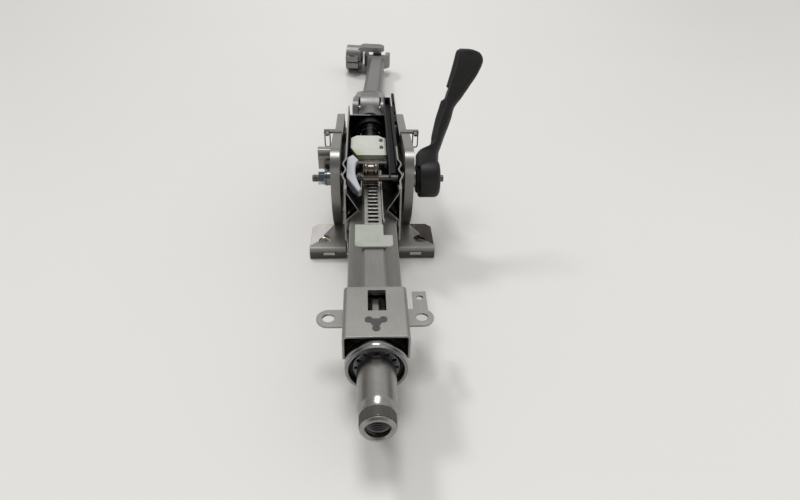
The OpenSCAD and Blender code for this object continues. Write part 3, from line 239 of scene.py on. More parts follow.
def sheared_edges(tree, above_mm, before_mm, right_mm):
    """Mask of a sheet's cut edges: faces that look up above a height, or ahead before a depth.

    On the right the edges that look up are bare only before another depth, because a rail covers them.
    """
    coordinates = add(tree, "ShaderNodeTexCoord")
    place = add(tree, "ShaderNodeSeparateXYZ", {"Vector": coordinates.outputs["Object"]})
    facing = add(tree, "ShaderNodeSeparateXYZ", {"Vector": coordinates.outputs["Normal"]})
    high = add(tree, "ShaderNodeMath", {0: place.outputs["Z"], 1: above_mm * MM}, operation="GREATER_THAN")
    near = add(tree, "ShaderNodeMath", {0: place.outputs["Y"], 1: before_mm * MM}, operation="LESS_THAN")
    left = add(tree, "ShaderNodeMath", {0: place.outputs["X"], 1: 0.0}, operation="LESS_THAN")
    open_right = add(tree, "ShaderNodeMath", {0: place.outputs["Y"], 1: right_mm * MM}, operation="LESS_THAN")
    free = add(tree, "ShaderNodeMath", {0: left.outputs[0], 1: open_right.outputs[0]}, operation="MAXIMUM")
    high = add(tree, "ShaderNodeMath", {0: high.outputs[0], 1: free.outputs[0]}, operation="MULTIPLY")
    up = add(tree, "ShaderNodeMapRange", {"Value": facing.outputs["Z"], "From Min": 0.8, "From Max": 0.95})
    ahead = add(tree, "ShaderNodeMapRange", {"Value": facing.outputs["Y"], "From Min": -0.8,
                                             "From Max": -0.95})
    top = add(tree, "ShaderNodeMath", {0: up.outputs["Result"], 1: high.outputs[0]}, operation="MULTIPLY")
    front = add(tree, "ShaderNodeMath", {0: ahead.outputs["Result"], 1: near.outputs[0]},
                operation="MULTIPLY")
    return add(tree, "ShaderNodeMath", {0: top.outputs[0], 1: front.outputs[0]},
               operation="MAXIMUM").outputs[0]


def scratches(tree, place, strength):
    """Mask of long thin scratches, about 4 mm apart and drawn three times too wide so that they show."""
    drawn = add(tree, "ShaderNodeMapping", {"Vector": place, "Rotation": (0.3, 0.2, 0.6),
                                            "Scale": (1, 0.05, 1)})
    line = add(tree, "ShaderNodeTexNoise", {"Vector": drawn.outputs["Vector"], "Scale": per_mm(4),
                                            "Detail": 2.0}).outputs["Fac"]
    off = add(tree, "ShaderNodeMath", {0: line, 1: 0.5}, operation="SUBTRACT")
    size = add(tree, "ShaderNodeMath", {0: off.outputs[0]}, operation="ABSOLUTE")
    return add(tree, "ShaderNodeMapRange", {"Value": size.outputs[0], "From Max": 0.008,
                                            "To Min": strength, "To Max": 0.0}).outputs["Result"]


def steel(name, colour, rough, grain_mm, stretch=(1, 1, 1), depth=0.25, rub=0.35, cloud_mm=16,
          scratch=0.12, cut=None, film=None, stain_and_shade=None):
    """Steel: cloudy tone of an oxidised skin, a grain from how it was worked, scratches and edges rubbed
    bright.

    cut gives the limits of a coated sheet's bare edges. film gives a second colour that lies in patches, and
    the places along x where it starts and is full. stain_and_shade gives the axis, the start, the end and the
    strength of a painted shade and reflection, in dark brown, that grows along it.
    """
    material, tree, shader = new_finish(name)
    place = add(tree, "ShaderNodeTexCoord").outputs["Object"]
    drawn = add(tree, "ShaderNodeMapping", {"Vector": place, "Scale": stretch}).outputs["Vector"]
    cloud = add(tree, "ShaderNodeTexNoise", {"Vector": place, "Scale": per_mm(cloud_mm), "Detail": 5.0,
                                             "Roughness": 0.62}).outputs["Fac"]
    grain = add(tree, "ShaderNodeTexNoise", {"Vector": drawn, "Scale": per_mm(grain_mm), "Detail": 4.0,
                                             "Roughness": 0.7}).outputs["Fac"]
    tone = add(tree, "ShaderNodeMix", {"Factor": cloud, "A": shade(colour, 0.8), "B": shade(colour, 1.16)},
               data_type="RGBA").outputs[2]
    if film:
        tint, start, end = film
        spot = add(tree, "ShaderNodeSeparateXYZ", {"Vector": place}).outputs["X"]
        near = add(tree, "ShaderNodeMapRange", {"Value": spot, "From Min": start,
                                                "From Max": end}).outputs["Result"]
        patch = add(tree, "ShaderNodeMapRange", {"Value": cloud, "From Min": 0.42, "From Max": 0.56,
                                                 "To Max": 0.75}).outputs["Result"]
        patch = add(tree, "ShaderNodeMath", {0: patch, 1: near}, operation="MULTIPLY").outputs[0]
        tone = add(tree, "ShaderNodeMix", {"Factor": patch, "A": tone, "B": tint},
                   data_type="RGBA").outputs[2]
    # Painted shade and reflection: a dark brown that grows along one axis
    if stain_and_shade:
        axis, start, end, strength = stain_and_shade
        spot = add(tree, "ShaderNodeSeparateXYZ", {"Vector": place}).outputs[axis]
        grown = add(tree, "ShaderNodeMapRange", {"Value": spot, "From Min": start, "From Max": end,
                                                 "To Max": strength}).outputs["Result"]
        tone = add(tree, "ShaderNodeMix", {"Factor": grown, "A": tone, "B": colours().painted_dark_reflection},
                   data_type="RGBA").outputs[2]
    speck = add(tree, "ShaderNodeMapRange", {"Value": grain, "From Min": 0.3, "From Max": 0.7,
                                             "To Min": 0.88, "To Max": 1.08})
    tone = add(tree, "ShaderNodeVectorMath", {0: tone, "Scale": speck.outputs["Result"]},
               operation="SCALE").outputs[0]
    worn = add(tree, "ShaderNodeMath", {0: rubbed_edges(tree, 0.7), 1: rub}, operation="MULTIPLY").outputs[0]
    worn = add(tree, "ShaderNodeMath", {0: worn, 1: scratches(tree, place, scratch)},
               operation="MAXIMUM").outputs[0]
    bright = shade(colour, 1.7)
    if cut:
        worn = add(tree, "ShaderNodeMath", {0: worn, 1: sheared_edges(tree, *cut)},
                   operation="MAXIMUM").outputs[0]
        bright = colours().bare
    final = add(tree, "ShaderNodeMix", {"Factor": worn, "A": tone, "B": bright}, data_type="RGBA")
    matt = add(tree, "ShaderNodeMapRange", {"Value": cloud, "From Min": 0.25, "From Max": 0.75,
                                            "To Min": rough - 0.06, "To Max": rough + 0.08})
    bump = add(tree, "ShaderNodeBump", {"Height": grain, "Strength": depth, "Distance": 0.05 * MM})
    connect(tree, shader, final, matt, bump)
    shader.inputs["Metallic"].default_value = 1.0
    return material


def nylon(name, colour, stain_and_shade, rough, stain_and_shade_at, stain_and_shade_reach_mm):
    """Moulded nylon: waxy, slightly see-through, clouded, with a second colour that fades from a point, a
    real stain on one part and painted shade on others.
    """
    material, tree, shader = new_finish(name)
    place = add(tree, "ShaderNodeTexCoord").outputs["Object"]
    cloud = add(tree, "ShaderNodeTexNoise", {"Vector": place, "Scale": per_mm(14),
                                             "Detail": 4.0}).outputs["Fac"]
    mould = add(tree, "ShaderNodeTexNoise", {"Vector": place, "Scale": per_mm(0.7),
                                             "Detail": 2.0}).outputs["Fac"]
    away = add(tree, "ShaderNodeVectorMath", {0: place, 1: stain_and_shade_at}, operation="DISTANCE").outputs["Value"]
    fade = add(tree, "ShaderNodeMapRange", {"Value": away, "From Min": 0.25 * stain_and_shade_reach_mm * MM,
                                            "From Max": stain_and_shade_reach_mm * MM, "To Min": 0.9, "To Max": 0.0})
    tone = add(tree, "ShaderNodeMix", {"Factor": cloud, "A": shade(colour, 0.86), "B": shade(colour, 1.1)},
               data_type="RGBA")
    # The second colour is a yellowed stain on the absorber block, and painted shade on the guide arm and the
    # rack clip
    stained_and_shaded = add(tree, "ShaderNodeMix", {"Factor": fade.outputs["Result"], "A": tone.outputs[2], "B": stain_and_shade},
                  data_type="RGBA")
    matt = add(tree, "ShaderNodeMapRange", {"Value": cloud, "To Min": rough - 0.06, "To Max": rough + 0.1})
    bump = add(tree, "ShaderNodeBump", {"Height": mould, "Strength": 0.15, "Distance": 0.05 * MM})
    connect(tree, shader, stained_and_shaded, matt, bump)
    shader.inputs["Subsurface Weight"].default_value = 0.12
    shader.inputs["Subsurface Radius"].default_value = (1.5 * MM, 1.5 * MM, 1.2 * MM)
    shader.inputs["IOR"].default_value = 1.53
    return material


def plastic(name, colour, rough, scuff):
    """Glass-filled black nylon: fine spark-eroded texture, edges scuffed grey."""
    material, tree, shader = new_finish(name)
    place = add(tree, "ShaderNodeTexCoord").outputs["Object"]
    # The spark texture is drawn at 0.8 mm, about four times the real one, so that it shows
    spark = add(tree, "ShaderNodeTexNoise", {"Vector": place, "Scale": per_mm(0.8),
                                             "Detail": 3.0}).outputs["Fac"]
    cloud = add(tree, "ShaderNodeTexNoise", {"Vector": place, "Scale": per_mm(22),
                                             "Detail": 4.0}).outputs["Fac"]
    tone = add(tree, "ShaderNodeMix", {"Factor": cloud, "A": shade(colour, 0.75), "B": shade(colour, 1.4)},
               data_type="RGBA")
    worn = add(tree, "ShaderNodeMath", {0: rubbed_edges(tree, 0.8), 1: scuff}, operation="MULTIPLY")
    final = add(tree, "ShaderNodeMix", {"Factor": worn.outputs[0], "A": tone.outputs[2],
                                        "B": shade(colour, 6.0)}, data_type="RGBA")
    matt = add(tree, "ShaderNodeMapRange", {"Value": cloud, "To Min": rough - 0.08, "To Max": rough + 0.12})
    bump = add(tree, "ShaderNodeBump", {"Height": spark, "Strength": 0.25, "Distance": 0.06 * MM})
    connect(tree, shader, final, matt, bump)
    shader.inputs["IOR"].default_value = 1.5
    shader.inputs["Specular IOR Level"].default_value = 0.4
    return material


FINISHES = {}


def finish(key):
    """The finish of that name, made when it is first asked for."""
    if key not in FINISHES:
        c = colours()
        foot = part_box("foot_left")[1]
        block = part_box("absorber_block")[0]
        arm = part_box("guide_arm")[0]
        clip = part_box("rack_clip")[0]
        makers = {
            # Cold-drawn tube: long die lines along the column, dull and even
            "drawn": lambda: steel("cold_drawn_steel", c.jacket, 0.34, 0.9, (1, 0.05, 1), depth=0.2,
                                   rub=0.3, cloud_mm=40),
            # Pressed sheet with a dry satin face
            "pressed": lambda: steel("pressed_steel_sheet", c.box, 0.45, 0.8, depth=0.15, rub=0.45,
                                     cloud_mm=30, scratch=0.2),
            # Bracket sheet: smoother from the press, oiled, so that it shines along its bends
            "bracket": lambda: steel("oiled_steel_sheet", c.bracket, 0.35, 0.9, (1, 1, 0.4),
                                     depth=0.15, rub=0.4, cloud_mm=30),
            # Foot sheet: dry and pale on top, with painted shade that darkens its lips toward the ground
            "foot": lambda: steel("foot_steel_sheet", c.foot, 0.58, 0.8, depth=0.2, rub=0.3,
                                  stain_and_shade=("Z", foot.z - 1 * MM, foot.z - 5 * MM, 0.75)),
            # Turned shaft: fine rings round the axis
            "turned": lambda: steel("turned_steel", c.shaft, 0.27, 0.5, (0.08, 1, 0.08), depth=0.2,
                                    rub=0.3, cloud_mm=30),
            # Rolled spline: matt and dark between the teeth
            "spline": lambda: steel("rolled_spline_steel", c.spline, 0.55, 0.5, depth=0.3, rub=0.3),
            # Tapped thread in shadow, dark with cutting oil
            "thread": lambda: steel("oily_tapped_steel", c.oiled, 0.4, 0.5, depth=0.2, rub=0.5),
            # Forged yokes: coarse shot-blasted skin
            "forged": lambda: steel("shot_blasted_forging", c.forged, 0.45, 1.1, depth=0.4, rub=0.35),
            # Bearing rings: ground and polished, faintly blue
            "ground": lambda: steel("ground_bearing_steel", c.bright, 0.14, 0.4, depth=0.04, rub=0.2,
                                    scratch=0.0),
            # Rolled rim of the jacket: burnished by the bearing press
            "burnished": lambda: steel("burnished_steel", shade(c.bright, 0.55), 0.16, 0.6,
                                       (0.1, 1, 0.1), depth=0.06, rub=0.2, scratch=0.0),
            # Star ring: hardened spring sheet, dark with bright edges
            "spring": lambda: steel("hardened_spring_steel", c.retainer, 0.3, 0.5, depth=0.1, rub=0.9),
            # Cover of the cable rail: black paint on sheet
            "painted": lambda: steel("black_painted_steel", c.rail, 0.5, 0.9, depth=0.2, rub=0.6),
            # Bright zinc: a mirror with a yellow film in patches, and a painted brown reflection of the dark
            # lever on the right wing
            "zinc": lambda: steel("bright_zinc_plate", c.zinc, 0.1, 0.7, depth=0.04, rub=0.2,
                                  cloud_mm=26, film=(c.passivated, -46 * MM, -37 * MM),
                                  stain_and_shade=("X", 30 * MM, 34 * MM, 0.97)),
            # The same plating, fresh, on the tongues in the lips
            "fresh_zinc": lambda: steel("fresh_zinc_plate", c.zinc, 0.3, 0.7, depth=0.04, rub=0.2),
            # Galvanised sheet of the rack and the carrier
            "galvanised": lambda: steel("galvanised_sheet", c.galvanised, 0.36, 0.8, depth=0.12,
                                        rub=0.4, cloud_mm=8),
            # Blue passivated zinc of small fasteners
            "blue_zinc": lambda: steel("blue_zinc_plate", c.blue_zinc, 0.25, 0.6, depth=0.08, rub=0.4),
            # Phosphated sheet: nearly black, its sheared edges left bare
            "dark": lambda: steel("phosphated_steel", c.dark, 0.48, 0.9, depth=0.25, rub=0.25,
                                  cut=BARE_LIMITS),
            # Blackened bolt steel: dull, with an oily sheen
            "oiled": lambda: steel("blackened_bolt_steel", c.oiled, 0.45, 0.7, depth=0.03, rub=0.1),
            # Sintered stop: porous and dull
            "sintered": lambda: steel("sintered_steel", c.stop, 0.42, 0.6, depth=0.45, rub=0.4),
            # Hardened pawl: brown temper colour with polished high spots
            "pawl": lambda: steel("oil_quenched_steel", c.pawl, 0.2, 0.8, depth=0.2, rub=0.7, cloud_mm=5),
            # Natural nylon: greenish grey and waxy, with painted shade, a darker copy of its colour, fading
            # from the clip's low corner
            "clip": lambda: nylon("natural_nylon", c.clip, shade(c.clip, 0.8), 0.4, clip, 9),
            # Nylon gone green-yellow at the corner that faces the bolt
            "aged_nylon": lambda: nylon("aged_nylon", c.aged_nylon, c.aged_corner, 0.38, block, 17),
            # White nylon with a cold tint, and painted bluish shade that fades from the arm's low corner
            "cool_nylon": lambda: nylon("white_nylon", c.cool_nylon, c.painted_arm_shade, 0.4, arm, 15),
            # Lever: glass-filled nylon, matt, scuffed along its edges
            "plastic": lambda: plastic("black_glass_filled_nylon", c.plastic, 0.46, 0.3),
            # Flash along the lever's mould line: the same nylon, pale where it was trimmed
            "flash": lambda: plastic("trimmed_nylon_flash", shade(c.plastic, 5), 0.5, 0.2),
            # Cable rail: softer, unfilled and fully matt
            "rail": lambda: plastic("matt_black_polypropylene", c.rail, 0.6, 0.35),
            # Seal: black rubber, smooth
            "rubber": lambda: plastic("nitrile_rubber", c.rubber, 0.5, 0.1),
        }
        FINISHES[key] = makers[key]()
    return FINISHES[key]


def dress(key, edge, *names):
    """Give CAD nodes their finish and round their edges."""
    for name in names:
        node = NODES[name]
        node.data.materials.clear()
        node.data.materials.append(finish(key))
        weld = node.modifiers.new("join faces", "WELD")
        weld.merge_threshold = 0.001 * MM
        if edge:
            bevel = node.modifiers.new("edges", "BEVEL")
            bevel.width = edge
            bevel.segments = 2
            bevel.limit_method = "ANGLE"
            bevel.angle_limit = math.radians(40)
            bevel.use_clamp_overlap = True
        normals = node.modifiers.new("shading", "WEIGHTED_NORMAL")
        normals.keep_sharp = True


def moulded(name, cell, passes):
    """Soften a node all over, as a moulding is: an even skin of small cells, smoothed."""
    node = NODES[name]
    node.modifiers.remove(node.modifiers["shading"])
    skinned = node.modifiers.new("even skin", "REMESH")
    skinned.mode, skinned.voxel_size, skinned.use_smooth_shade = "VOXEL", cell, True
    smoothed = node.modifiers.new("soft edges", "SMOOTH")
    smoothed.factor, smoothed.iterations = 0.5, passes


def piece(name, mesh, body, key, sharp_deg=50):
    """Make a new object from a bmesh and let it ride on a body."""
    data = bpy.data.meshes.new(name)
    bmesh.ops.recalc_face_normals(mesh, faces=mesh.faces)
    mesh.to_mesh(data)
    mesh.free()
    for face in data.polygons:
        face.use_smooth = True
    data.set_sharp_from_angle(angle=math.radians(sharp_deg))
    data.materials.append(finish(key))
    made = bpy.data.objects.new(name, data)
    bpy.context.scene.collection.objects.link(made)
    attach(made, body)
    return made


def skin(mesh, rings, loop=False):
    """Faces between rows of points, each row a closed ring, capped at both ends unless the rows loop."""
    rows = [[mesh.verts.new(p) for p in ring] for ring in rings]
    count = len(rows[0])
    for near, far in list(zip(rows, rows[1:])) + ([(rows[-1], rows[0])] if loop else []):
        for i in range(count):
            j = (i + 1) % count
            mesh.faces.new((near[i], near[j], far[j], far[i]))
    if not loop:
        mesh.faces.new(rows[0])
        mesh.faces.new(rows[-1])


def helix(mesh, start, along, across, radius, height, pitch, length):
    """Triangular thread ridge round an axis; a negative height points inward."""
    side = along.cross(across)
    steps, spread, least = 28, 0.42, 0.05
    count = int(length / pitch * steps)
    rings = []
    for i in range(count + 1):
        turn = 2 * math.pi * i / steps
        out = across * math.cos(turn) + side * math.sin(turn)
        fade = min(1.0, least + i / steps, least + (count - i) / steps)
        middle = start + along * (pitch * i / steps)
        rings.append([middle + out * radius - along * pitch * spread,
                      middle + out * (radius + height * fade),
                      middle + out * radius + along * pitch * spread])
    skin(mesh, rings)


def lathe(mesh, centre, along, across, profile, steps):
    """Ring round an axis from a closed profile of places along the axis and radii."""
    side = along.cross(across)
    turns = [2 * math.pi * i / steps for i in range(steps)]
    skin(mesh, [[centre + along * place + (across * math.cos(t) + side * math.sin(t)) * radius
                 for place, radius in profile] for t in turns], loop=True)


def softened(corners, steps=4):
    """A closed outline with its corners rounded; each corner holds its x, y and radius."""
    ring = []
    count = len(corners)
    for i, (x, y, radius) in enumerate(corners):
        corner = Vector((x, y))
        before = Vector(corners[i - 1][:2]) - corner
        after = Vector(corners[(i + 1) % count][:2]) - corner
        start = corner + before * min(0.45, radius / before.length)
        end = corner + after * min(0.45, radius / after.length)
        for k in range(steps + 1):
            t = k / steps
            ring.append(start * (1 - t) ** 2 + corner * 2 * t * (1 - t) + end * t ** 2)
    return ring


def ramp(value, start, end):
    """How far a value has come from start to end, from 0 to 1."""
    return max(0.0, min(1.0, (value - start) / (end - start)))


def smooth_rows(rows, steps):
    """Rows of numbers with more rows between them, on a smooth curve through all."""
    out = []
    for i in range(len(rows) - 1):
        a, b, c, d = (rows[max(i - 1, 0)], rows[i], rows[i + 1], rows[min(i + 2, len(rows) - 1)])
        for k in range(steps):
            t = k / steps
            out.append([q + t / 2 * (r - p + t * (2 * p - 5 * q + 4 * r - s + t * (3 * q - p - 3 * r + s)))
                        for p, q, r, s in zip(a, b, c, d)])
    return out + [list(rows[-1])]


class COLUMN_OT_shafts(bpy.types.Operator):
    """Steering shaft, lower shaft and lock sleeve, with spline teeth and a wheel bolt thread"""

    bl_idname = "column.shafts"
    bl_label = "Shafts"

    def execute(self, context):
        s = sizes()
        dress("turned", 0.12 * MM, "steering_shaft")
        dress("turned", s.edge, "lower_shaft", "lock_sleeve")
        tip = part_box("steering_shaft")[0].y
        self.spline(s, tip)
        mesh = bmesh.new()
        mouth, bore_r, ridge, length = 3.2 * MM, 7.3 * MM, 0.9 * MM, 20 * MM
        helix(mesh, Vector((0, tip + mouth, 0)), Y_AXIS, X_AXIS, bore_r, -ridge, s.wheel_pitch, length)
        piece("wheel_thread", mesh, "upper_shaft", "thread")
        return {"FINISHED"}

    def spline(self, s, tip):
        """Ring of small teeth between the tip's groove and the cone."""
        root_r, inner_r = 11.01 * MM, 10.7 * MM
        front, back = tip + 2.75 * MM, -0.3 * MM
        ring = []
        for i in range(s.spline_teeth):
            for part, lift in ((-0.32, 0.0), (-0.14, 1.0), (0.14, 1.0), (0.32, 0.0)):
                ring.append((2 * math.pi * (i + part) / s.spline_teeth, root_r + lift * s.spline_height))
        rows = [[Vector((r * math.cos(a), y, r * math.sin(a))) for a, r in ring] for y in (front, back)]
        rows += [[Vector((inner_r * math.cos(a), y, inner_r * math.sin(a))) for a, r in ring]
                 for y in (back, front)]
        mesh = bmesh.new()
        skin(mesh, rows, loop=True)
        piece("spline_teeth", mesh, "upper_shaft", "spline", sharp_deg=20)


class COLUMN_OT_bearings(bpy.types.Operator):
    """Ball bearings, the rubber seal and the star ring in front of the upper one"""

    bl_idname = "column.bearings"
    bl_label = "Bearings"

    def execute(self, context):
        fine = sizes().fine_edge
        dress("ground", fine, "upper_bearing_inner", "upper_bearing_outer", "lower_bearing_inner",
              "lower_bearing_outer")
        dress("spring", fine, "bearing_retainer")
        dress("ground", 0, "upper_bearing_balls", "lower_bearing_balls")
        gap, step = 0.35 * MM, 0.1 * MM
        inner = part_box("upper_bearing_inner")[1].x + gap
        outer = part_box("upper_bearing_outer")[1].x
        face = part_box("upper_bearing_outer")[0].y
        proud, lip, root = -0.15 * MM, 0.3 * MM, 0.5 * MM
        profile = [(root, inner), (step, inner), (proud, inner + lip), (proud, outer - lip),
                   (step, outer), (root, outer)]
        mesh = bmesh.new()
        lathe(mesh, Vector((0, face, 0)), Y_AXIS, X_AXIS, profile, 96)
        piece("bearing_seal", mesh, "jacket", "rubber")
        return {"FINISHED"}


class COLUMN_OT_jacket(bpy.types.Operator):
    """Octagonal jacket and the sheet box that carries the stalk switches"""

    bl_idname = "column.jacket"
    bl_label = "Jacket"

    def execute(self, context):
        s = sizes()
        dress("drawn", s.soft_edge, "jacket_tube")
        dress("pressed", s.edge, "switch_bracket")
        dress("spline", 0.15 * MM, "stake_mark")
        self.rim()
        return {"FINISHED"}

    def rim(self):
        """Rolled front rim of the jacket, burnished and rounded toward the bearing."""
        front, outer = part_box("jacket_tube")[0].y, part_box("switch_bracket")[0].y
        radius, gap, lap = 20 * MM, 0.05 * MM, 3 * MM
        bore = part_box("upper_bearing_outer")[1].x + gap
        proud = sizes().rim_proud
        deep = outer + lap - front
        swell = [(deep, radius - 0.3 * MM), (0.8 * deep, radius + 0.5 * proud), (0.6 * deep, radius + proud),
                 (0.42 * deep, radius + 0.9 * proud), (0.27 * deep, radius + 0.3 * proud),
                 (0.15 * deep, radius - 0.5 * MM), (0.06 * deep, radius - 1.3 * MM),
                 (-0.2 * MM, radius - 2 * MM), (-0.25 * MM, bore + 0.5 * MM), (0.1 * MM, bore),
                 (1 * MM, bore), (deep, radius - 0.8 * MM)]
        mesh = bmesh.new()
        lathe(mesh, Vector((0, front, 0)), Y_AXIS, X_AXIS, swell, 128)
        piece("rolled_rim", mesh, "jacket", "burnished", sharp_deg=60)


class COLUMN_OT_rack(bpy.types.Operator):
    """Slotted rack, its nylon clip and the crash absorber"""

    bl_idname = "column.rack"
    bl_label = "Rack and absorber"

    def execute(self, context):
        fine = sizes().fine_edge
        dress("galvanised", fine, "rack_strip", "absorber_strip", "absorber_carrier")
        dress("clip", 0.5 * MM, "rack_clip")
        self.ribs()
        dress("aged_nylon", 0.8 * MM, "absorber_block")
        return {"FINISHED"}

    def ribs(self):
        """Shallow moulded ribs on the clip's top face."""
        low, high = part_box("rack_clip")
        top, sunk, proud, soft = high.z, 0.2 * MM, 0.18 * MM, 0.4 * MM
        mesh = bmesh.new()
        for place, half, front, back in ((0.24, 0.9, 7, 17), (0.36, 0.6, 7, 17), (0.6, 0.5, 5, 19)):
            x, near, far = low.x + place * (high.x - low.x), low.y + front * MM, low.y + back * MM
            rows = []
            for y, lift in ((near, 0.0), (near + soft, proud), (far - soft, proud), (far, 0.0)):
                rows.append([Vector((x + a * half * MM, y, top + z)) for a, z in
                             ((-1.4, -sunk), (-1.2, 0.4 * lift), (-0.7, lift), (0.7, lift), (1.2, 0.4 * lift),
                              (1.4, -sunk))])
            skin(mesh, rows)
        piece("clip_ribs", mesh, "jacket", "clip")


class COLUMN_OT_housing(bpy.types.Operator):
    """Swing housing with its leaves, guide arm, pads, bushes and cable rail"""

    bl_idname = "column.housing"
    bl_label = "Swing housing"

    def execute(self, context):
        s = sizes()
        dress("dark", s.small_edge, "swing_housing", "clamp_leaf_left", "clamp_leaf_right")
        dress("painted", s.fine_edge, "rail_cover")
        dress("bracket", s.fine_edge, "bolt_spacers", "fixed_cam")
        dress("cool_nylon", 0, "guide_arm")
        moulded("guide_arm", 0.5 * MM, 16)
        dress("clip", s.small_edge, "slide_pads", "pivot_bushes")
        dress("blue_zinc", 0.3 * MM, "thrust_collar")
        dress("blue_zinc", 0, "pawl_spring")
        dress("rail", s.small_edge, "cable_rail")
        return {"FINISHED"}


class COLUMN_OT_bracket(bpy.types.Operator):
    """Fixed bracket: cheeks, feet, plated base plate, bridge and stops"""

    bl_idname = "column.bracket"
    bl_label = "Bracket"

    def execute(self, context):
        s = sizes()
        dress("bracket", s.soft_edge, "bracket_cheek_left", "bracket_cheek_right")
        dress("foot", s.edge * 2, "foot_left", "foot_right", "rear_bridge")
        dress("zinc", s.edge, "base_plate", "pivot_bolts")
        dress("sintered", s.edge * 2, "stop_block")
        dress("blue_zinc", 0, "spring_loop_left", "spring_loop_right")
        self.tongues()
        return {"FINISHED"}

    def tongues(self):
        """Two plated tongues of the base plate in each lip's slot, their upper faces sloped to the front."""
        lip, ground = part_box("foot_left")[0].y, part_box("foot_left")[0].z
        half, middle, height = 5.2 * MM, 39.5 * MM, ground + 5.5 * MM
        below, above = 0.9 * MM, 0.8 * MM
        mesh = bmesh.new()
        for side in (-1, 1):
            for z in (height - below, height + above):
                outline = [(-0.1, -0.6), (-0.1, -0.35), (0.2, -0.1), (1.6, 0.6), (2.6, 0.6), (2.6, -0.6)]
                skin(mesh, [[Vector((side * middle + x, lip + a * MM, z + b * MM)) for a, b in outline]
                            for x in (-half, half)])
        piece("plate_tongues", mesh, "bracket", "fresh_zinc", sharp_deg=20)


class COLUMN_OT_clamp(bpy.types.Operator):
    """Clamp bolt with its nut, cams and pawl"""

    bl_idname = "column.clamp"
    bl_label = "Clamp"

    def execute(self, context):
        s = sizes()
        dress("oiled", s.edge, "clamp_bolt")
        dress("blue_zinc", 0.3 * MM, "clamp_nut")
        dress("pawl", s.edge, "pawl_cam")
        dress("bracket", s.edge, "moving_cam")
        low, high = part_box("clamp_bolt")
        inset, sunk, spare, tooth = 0.8 * MM, 0.02 * MM, 1.4 * MM, 0.3 * MM
        start = Vector((low.x + inset, (low.y + high.y) / 2, (low.z + high.z) / 2))
        radius = (high.z - low.z) / 2 - sunk
        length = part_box("clamp_nut")[0].x - low.x - spare
        mesh = bmesh.new()
        helix(mesh, start, X_AXIS, Y_AXIS, radius, tooth, s.bolt_pitch, length)
        piece("bolt_thread", mesh, "lever", "oiled")
        return {"FINISHED"}


class COLUMN_OT_lever(bpy.types.Operator):
    """Moulded clamp lever: a round hub and an arm whose left flank leans into view"""

    bl_idname = "column.lever"
    bl_label = "Lever"

    def execute(self, context):
        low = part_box("clamp_lever")[0]
        pivot = JOINT_POINTS["lever_swing"]
        mesh = bmesh.new()
        self.hub(mesh, pivot, low.x, pivot.z - low.z)
        crease = self.arm(mesh, pivot, low.x)
        made = piece("moulded_lever", mesh, "lever", "plastic", sharp_deg=60)
        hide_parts("clamp_lever")
        self.seam(crease)
        return {"FINISHED"}

    def seam(self, crease):
        """Thin bead of flash where the lever's mould halves met, along the crease beside its flank."""
        thick, sides = 0.28 * MM, 6
        rings = []
        for before, after in zip(crease, crease[1:]):
            along = (after - before).normalized()
            up = along.cross(X_AXIS).normalized()
            side = up.cross(along)
            rings.append([before + (side * math.cos(a) + up * math.sin(a)) * thick
                          for a in (2 * math.pi * k / sides for k in range(sides))])
        mesh = bmesh.new()
        skin(mesh, rings)
        piece("lever_seam", mesh, "lever", "flash")

    def hub(self, mesh, pivot, inner_x, radius):
        """Round hub with soft edges, a stepped inner face and a sunk outer face."""
        bore, width = 3.1 * MM, 21.4 * MM
        profile = [(0.0, bore), (0.0, radius - 5 * MM), (0.6 * MM, radius - 4 * MM),
                   (2.2 * MM, radius - 3.8 * MM), (2.4 * MM, radius - 1.2 * MM),
                   (3.4 * MM, radius - 0.2 * MM), (4.6 * MM, radius),
                   (width - 4.6 * MM, radius), (width - 2.6 * MM, radius - 0.5 * MM),
                   (width - 1 * MM, radius - 1.8 * MM), (width - 0.2 * MM, radius - 3.6 * MM),
                   (width, radius - 5 * MM), (width, 9 * MM), (width - 1 * MM, 8 * MM),
                   (width - 1 * MM, bore)]
        lathe(mesh, Vector((inner_x, pivot.y, pivot.z)), X_AXIS, Y_AXIS, profile, 72)

    def arm(self, mesh, pivot, inner_x):
        """Arm lofted through its stations, with a dished thumb face on the paddle; gives back its crease."""
        along = Vector((0, math.cos(LEVER_LEAN), math.sin(LEVER_LEAN)))
        up = Vector((0, -math.sin(LEVER_LEAN), math.cos(LEVER_LEAN)))
        root = Vector((inner_x, pivot.y, pivot.z))
        rings, crease = [], []
        begin, full, leave, end = DISH_REACH
        for reach, left, right, half, flank in smooth_rows(LEVER_STATIONS, 4):
            wide = right - left
            if SEAM_REACH[0] < reach < SEAM_REACH[1]:
                ridge = Vector((left + flank + SEAM_OFFSET[0], 0, 0)) + along * reach
                crease.append(root + (ridge + up * (half + SEAM_OFFSET[1])) * MM)
            dish = DISH_DEPTH * half * ramp(reach, begin, full) * ramp(reach, end, leave)
            middle = left + flank + 0.5 * (wide - flank)
            corners = [(left, -0.3 * half, 0.9), (left + flank, half, 0.7), (middle, 0.86 * half - dish, 6.0),
                       (right - 0.14 * wide, 0.6 * half, 2.5), (right, -0.05 * half, 2.0),
                       (right - 0.1 * wide, -half, 1.5), (left + 0.16 * wide, -half, 1.5)]
            rings.append([root + (X_AXIS * p.x + along * reach + up * p.y) * MM
                          for p in softened([(x, y, r * min(1.0, half / 4)) for x, y, r in corners])])
        skin(mesh, rings)
        return crease


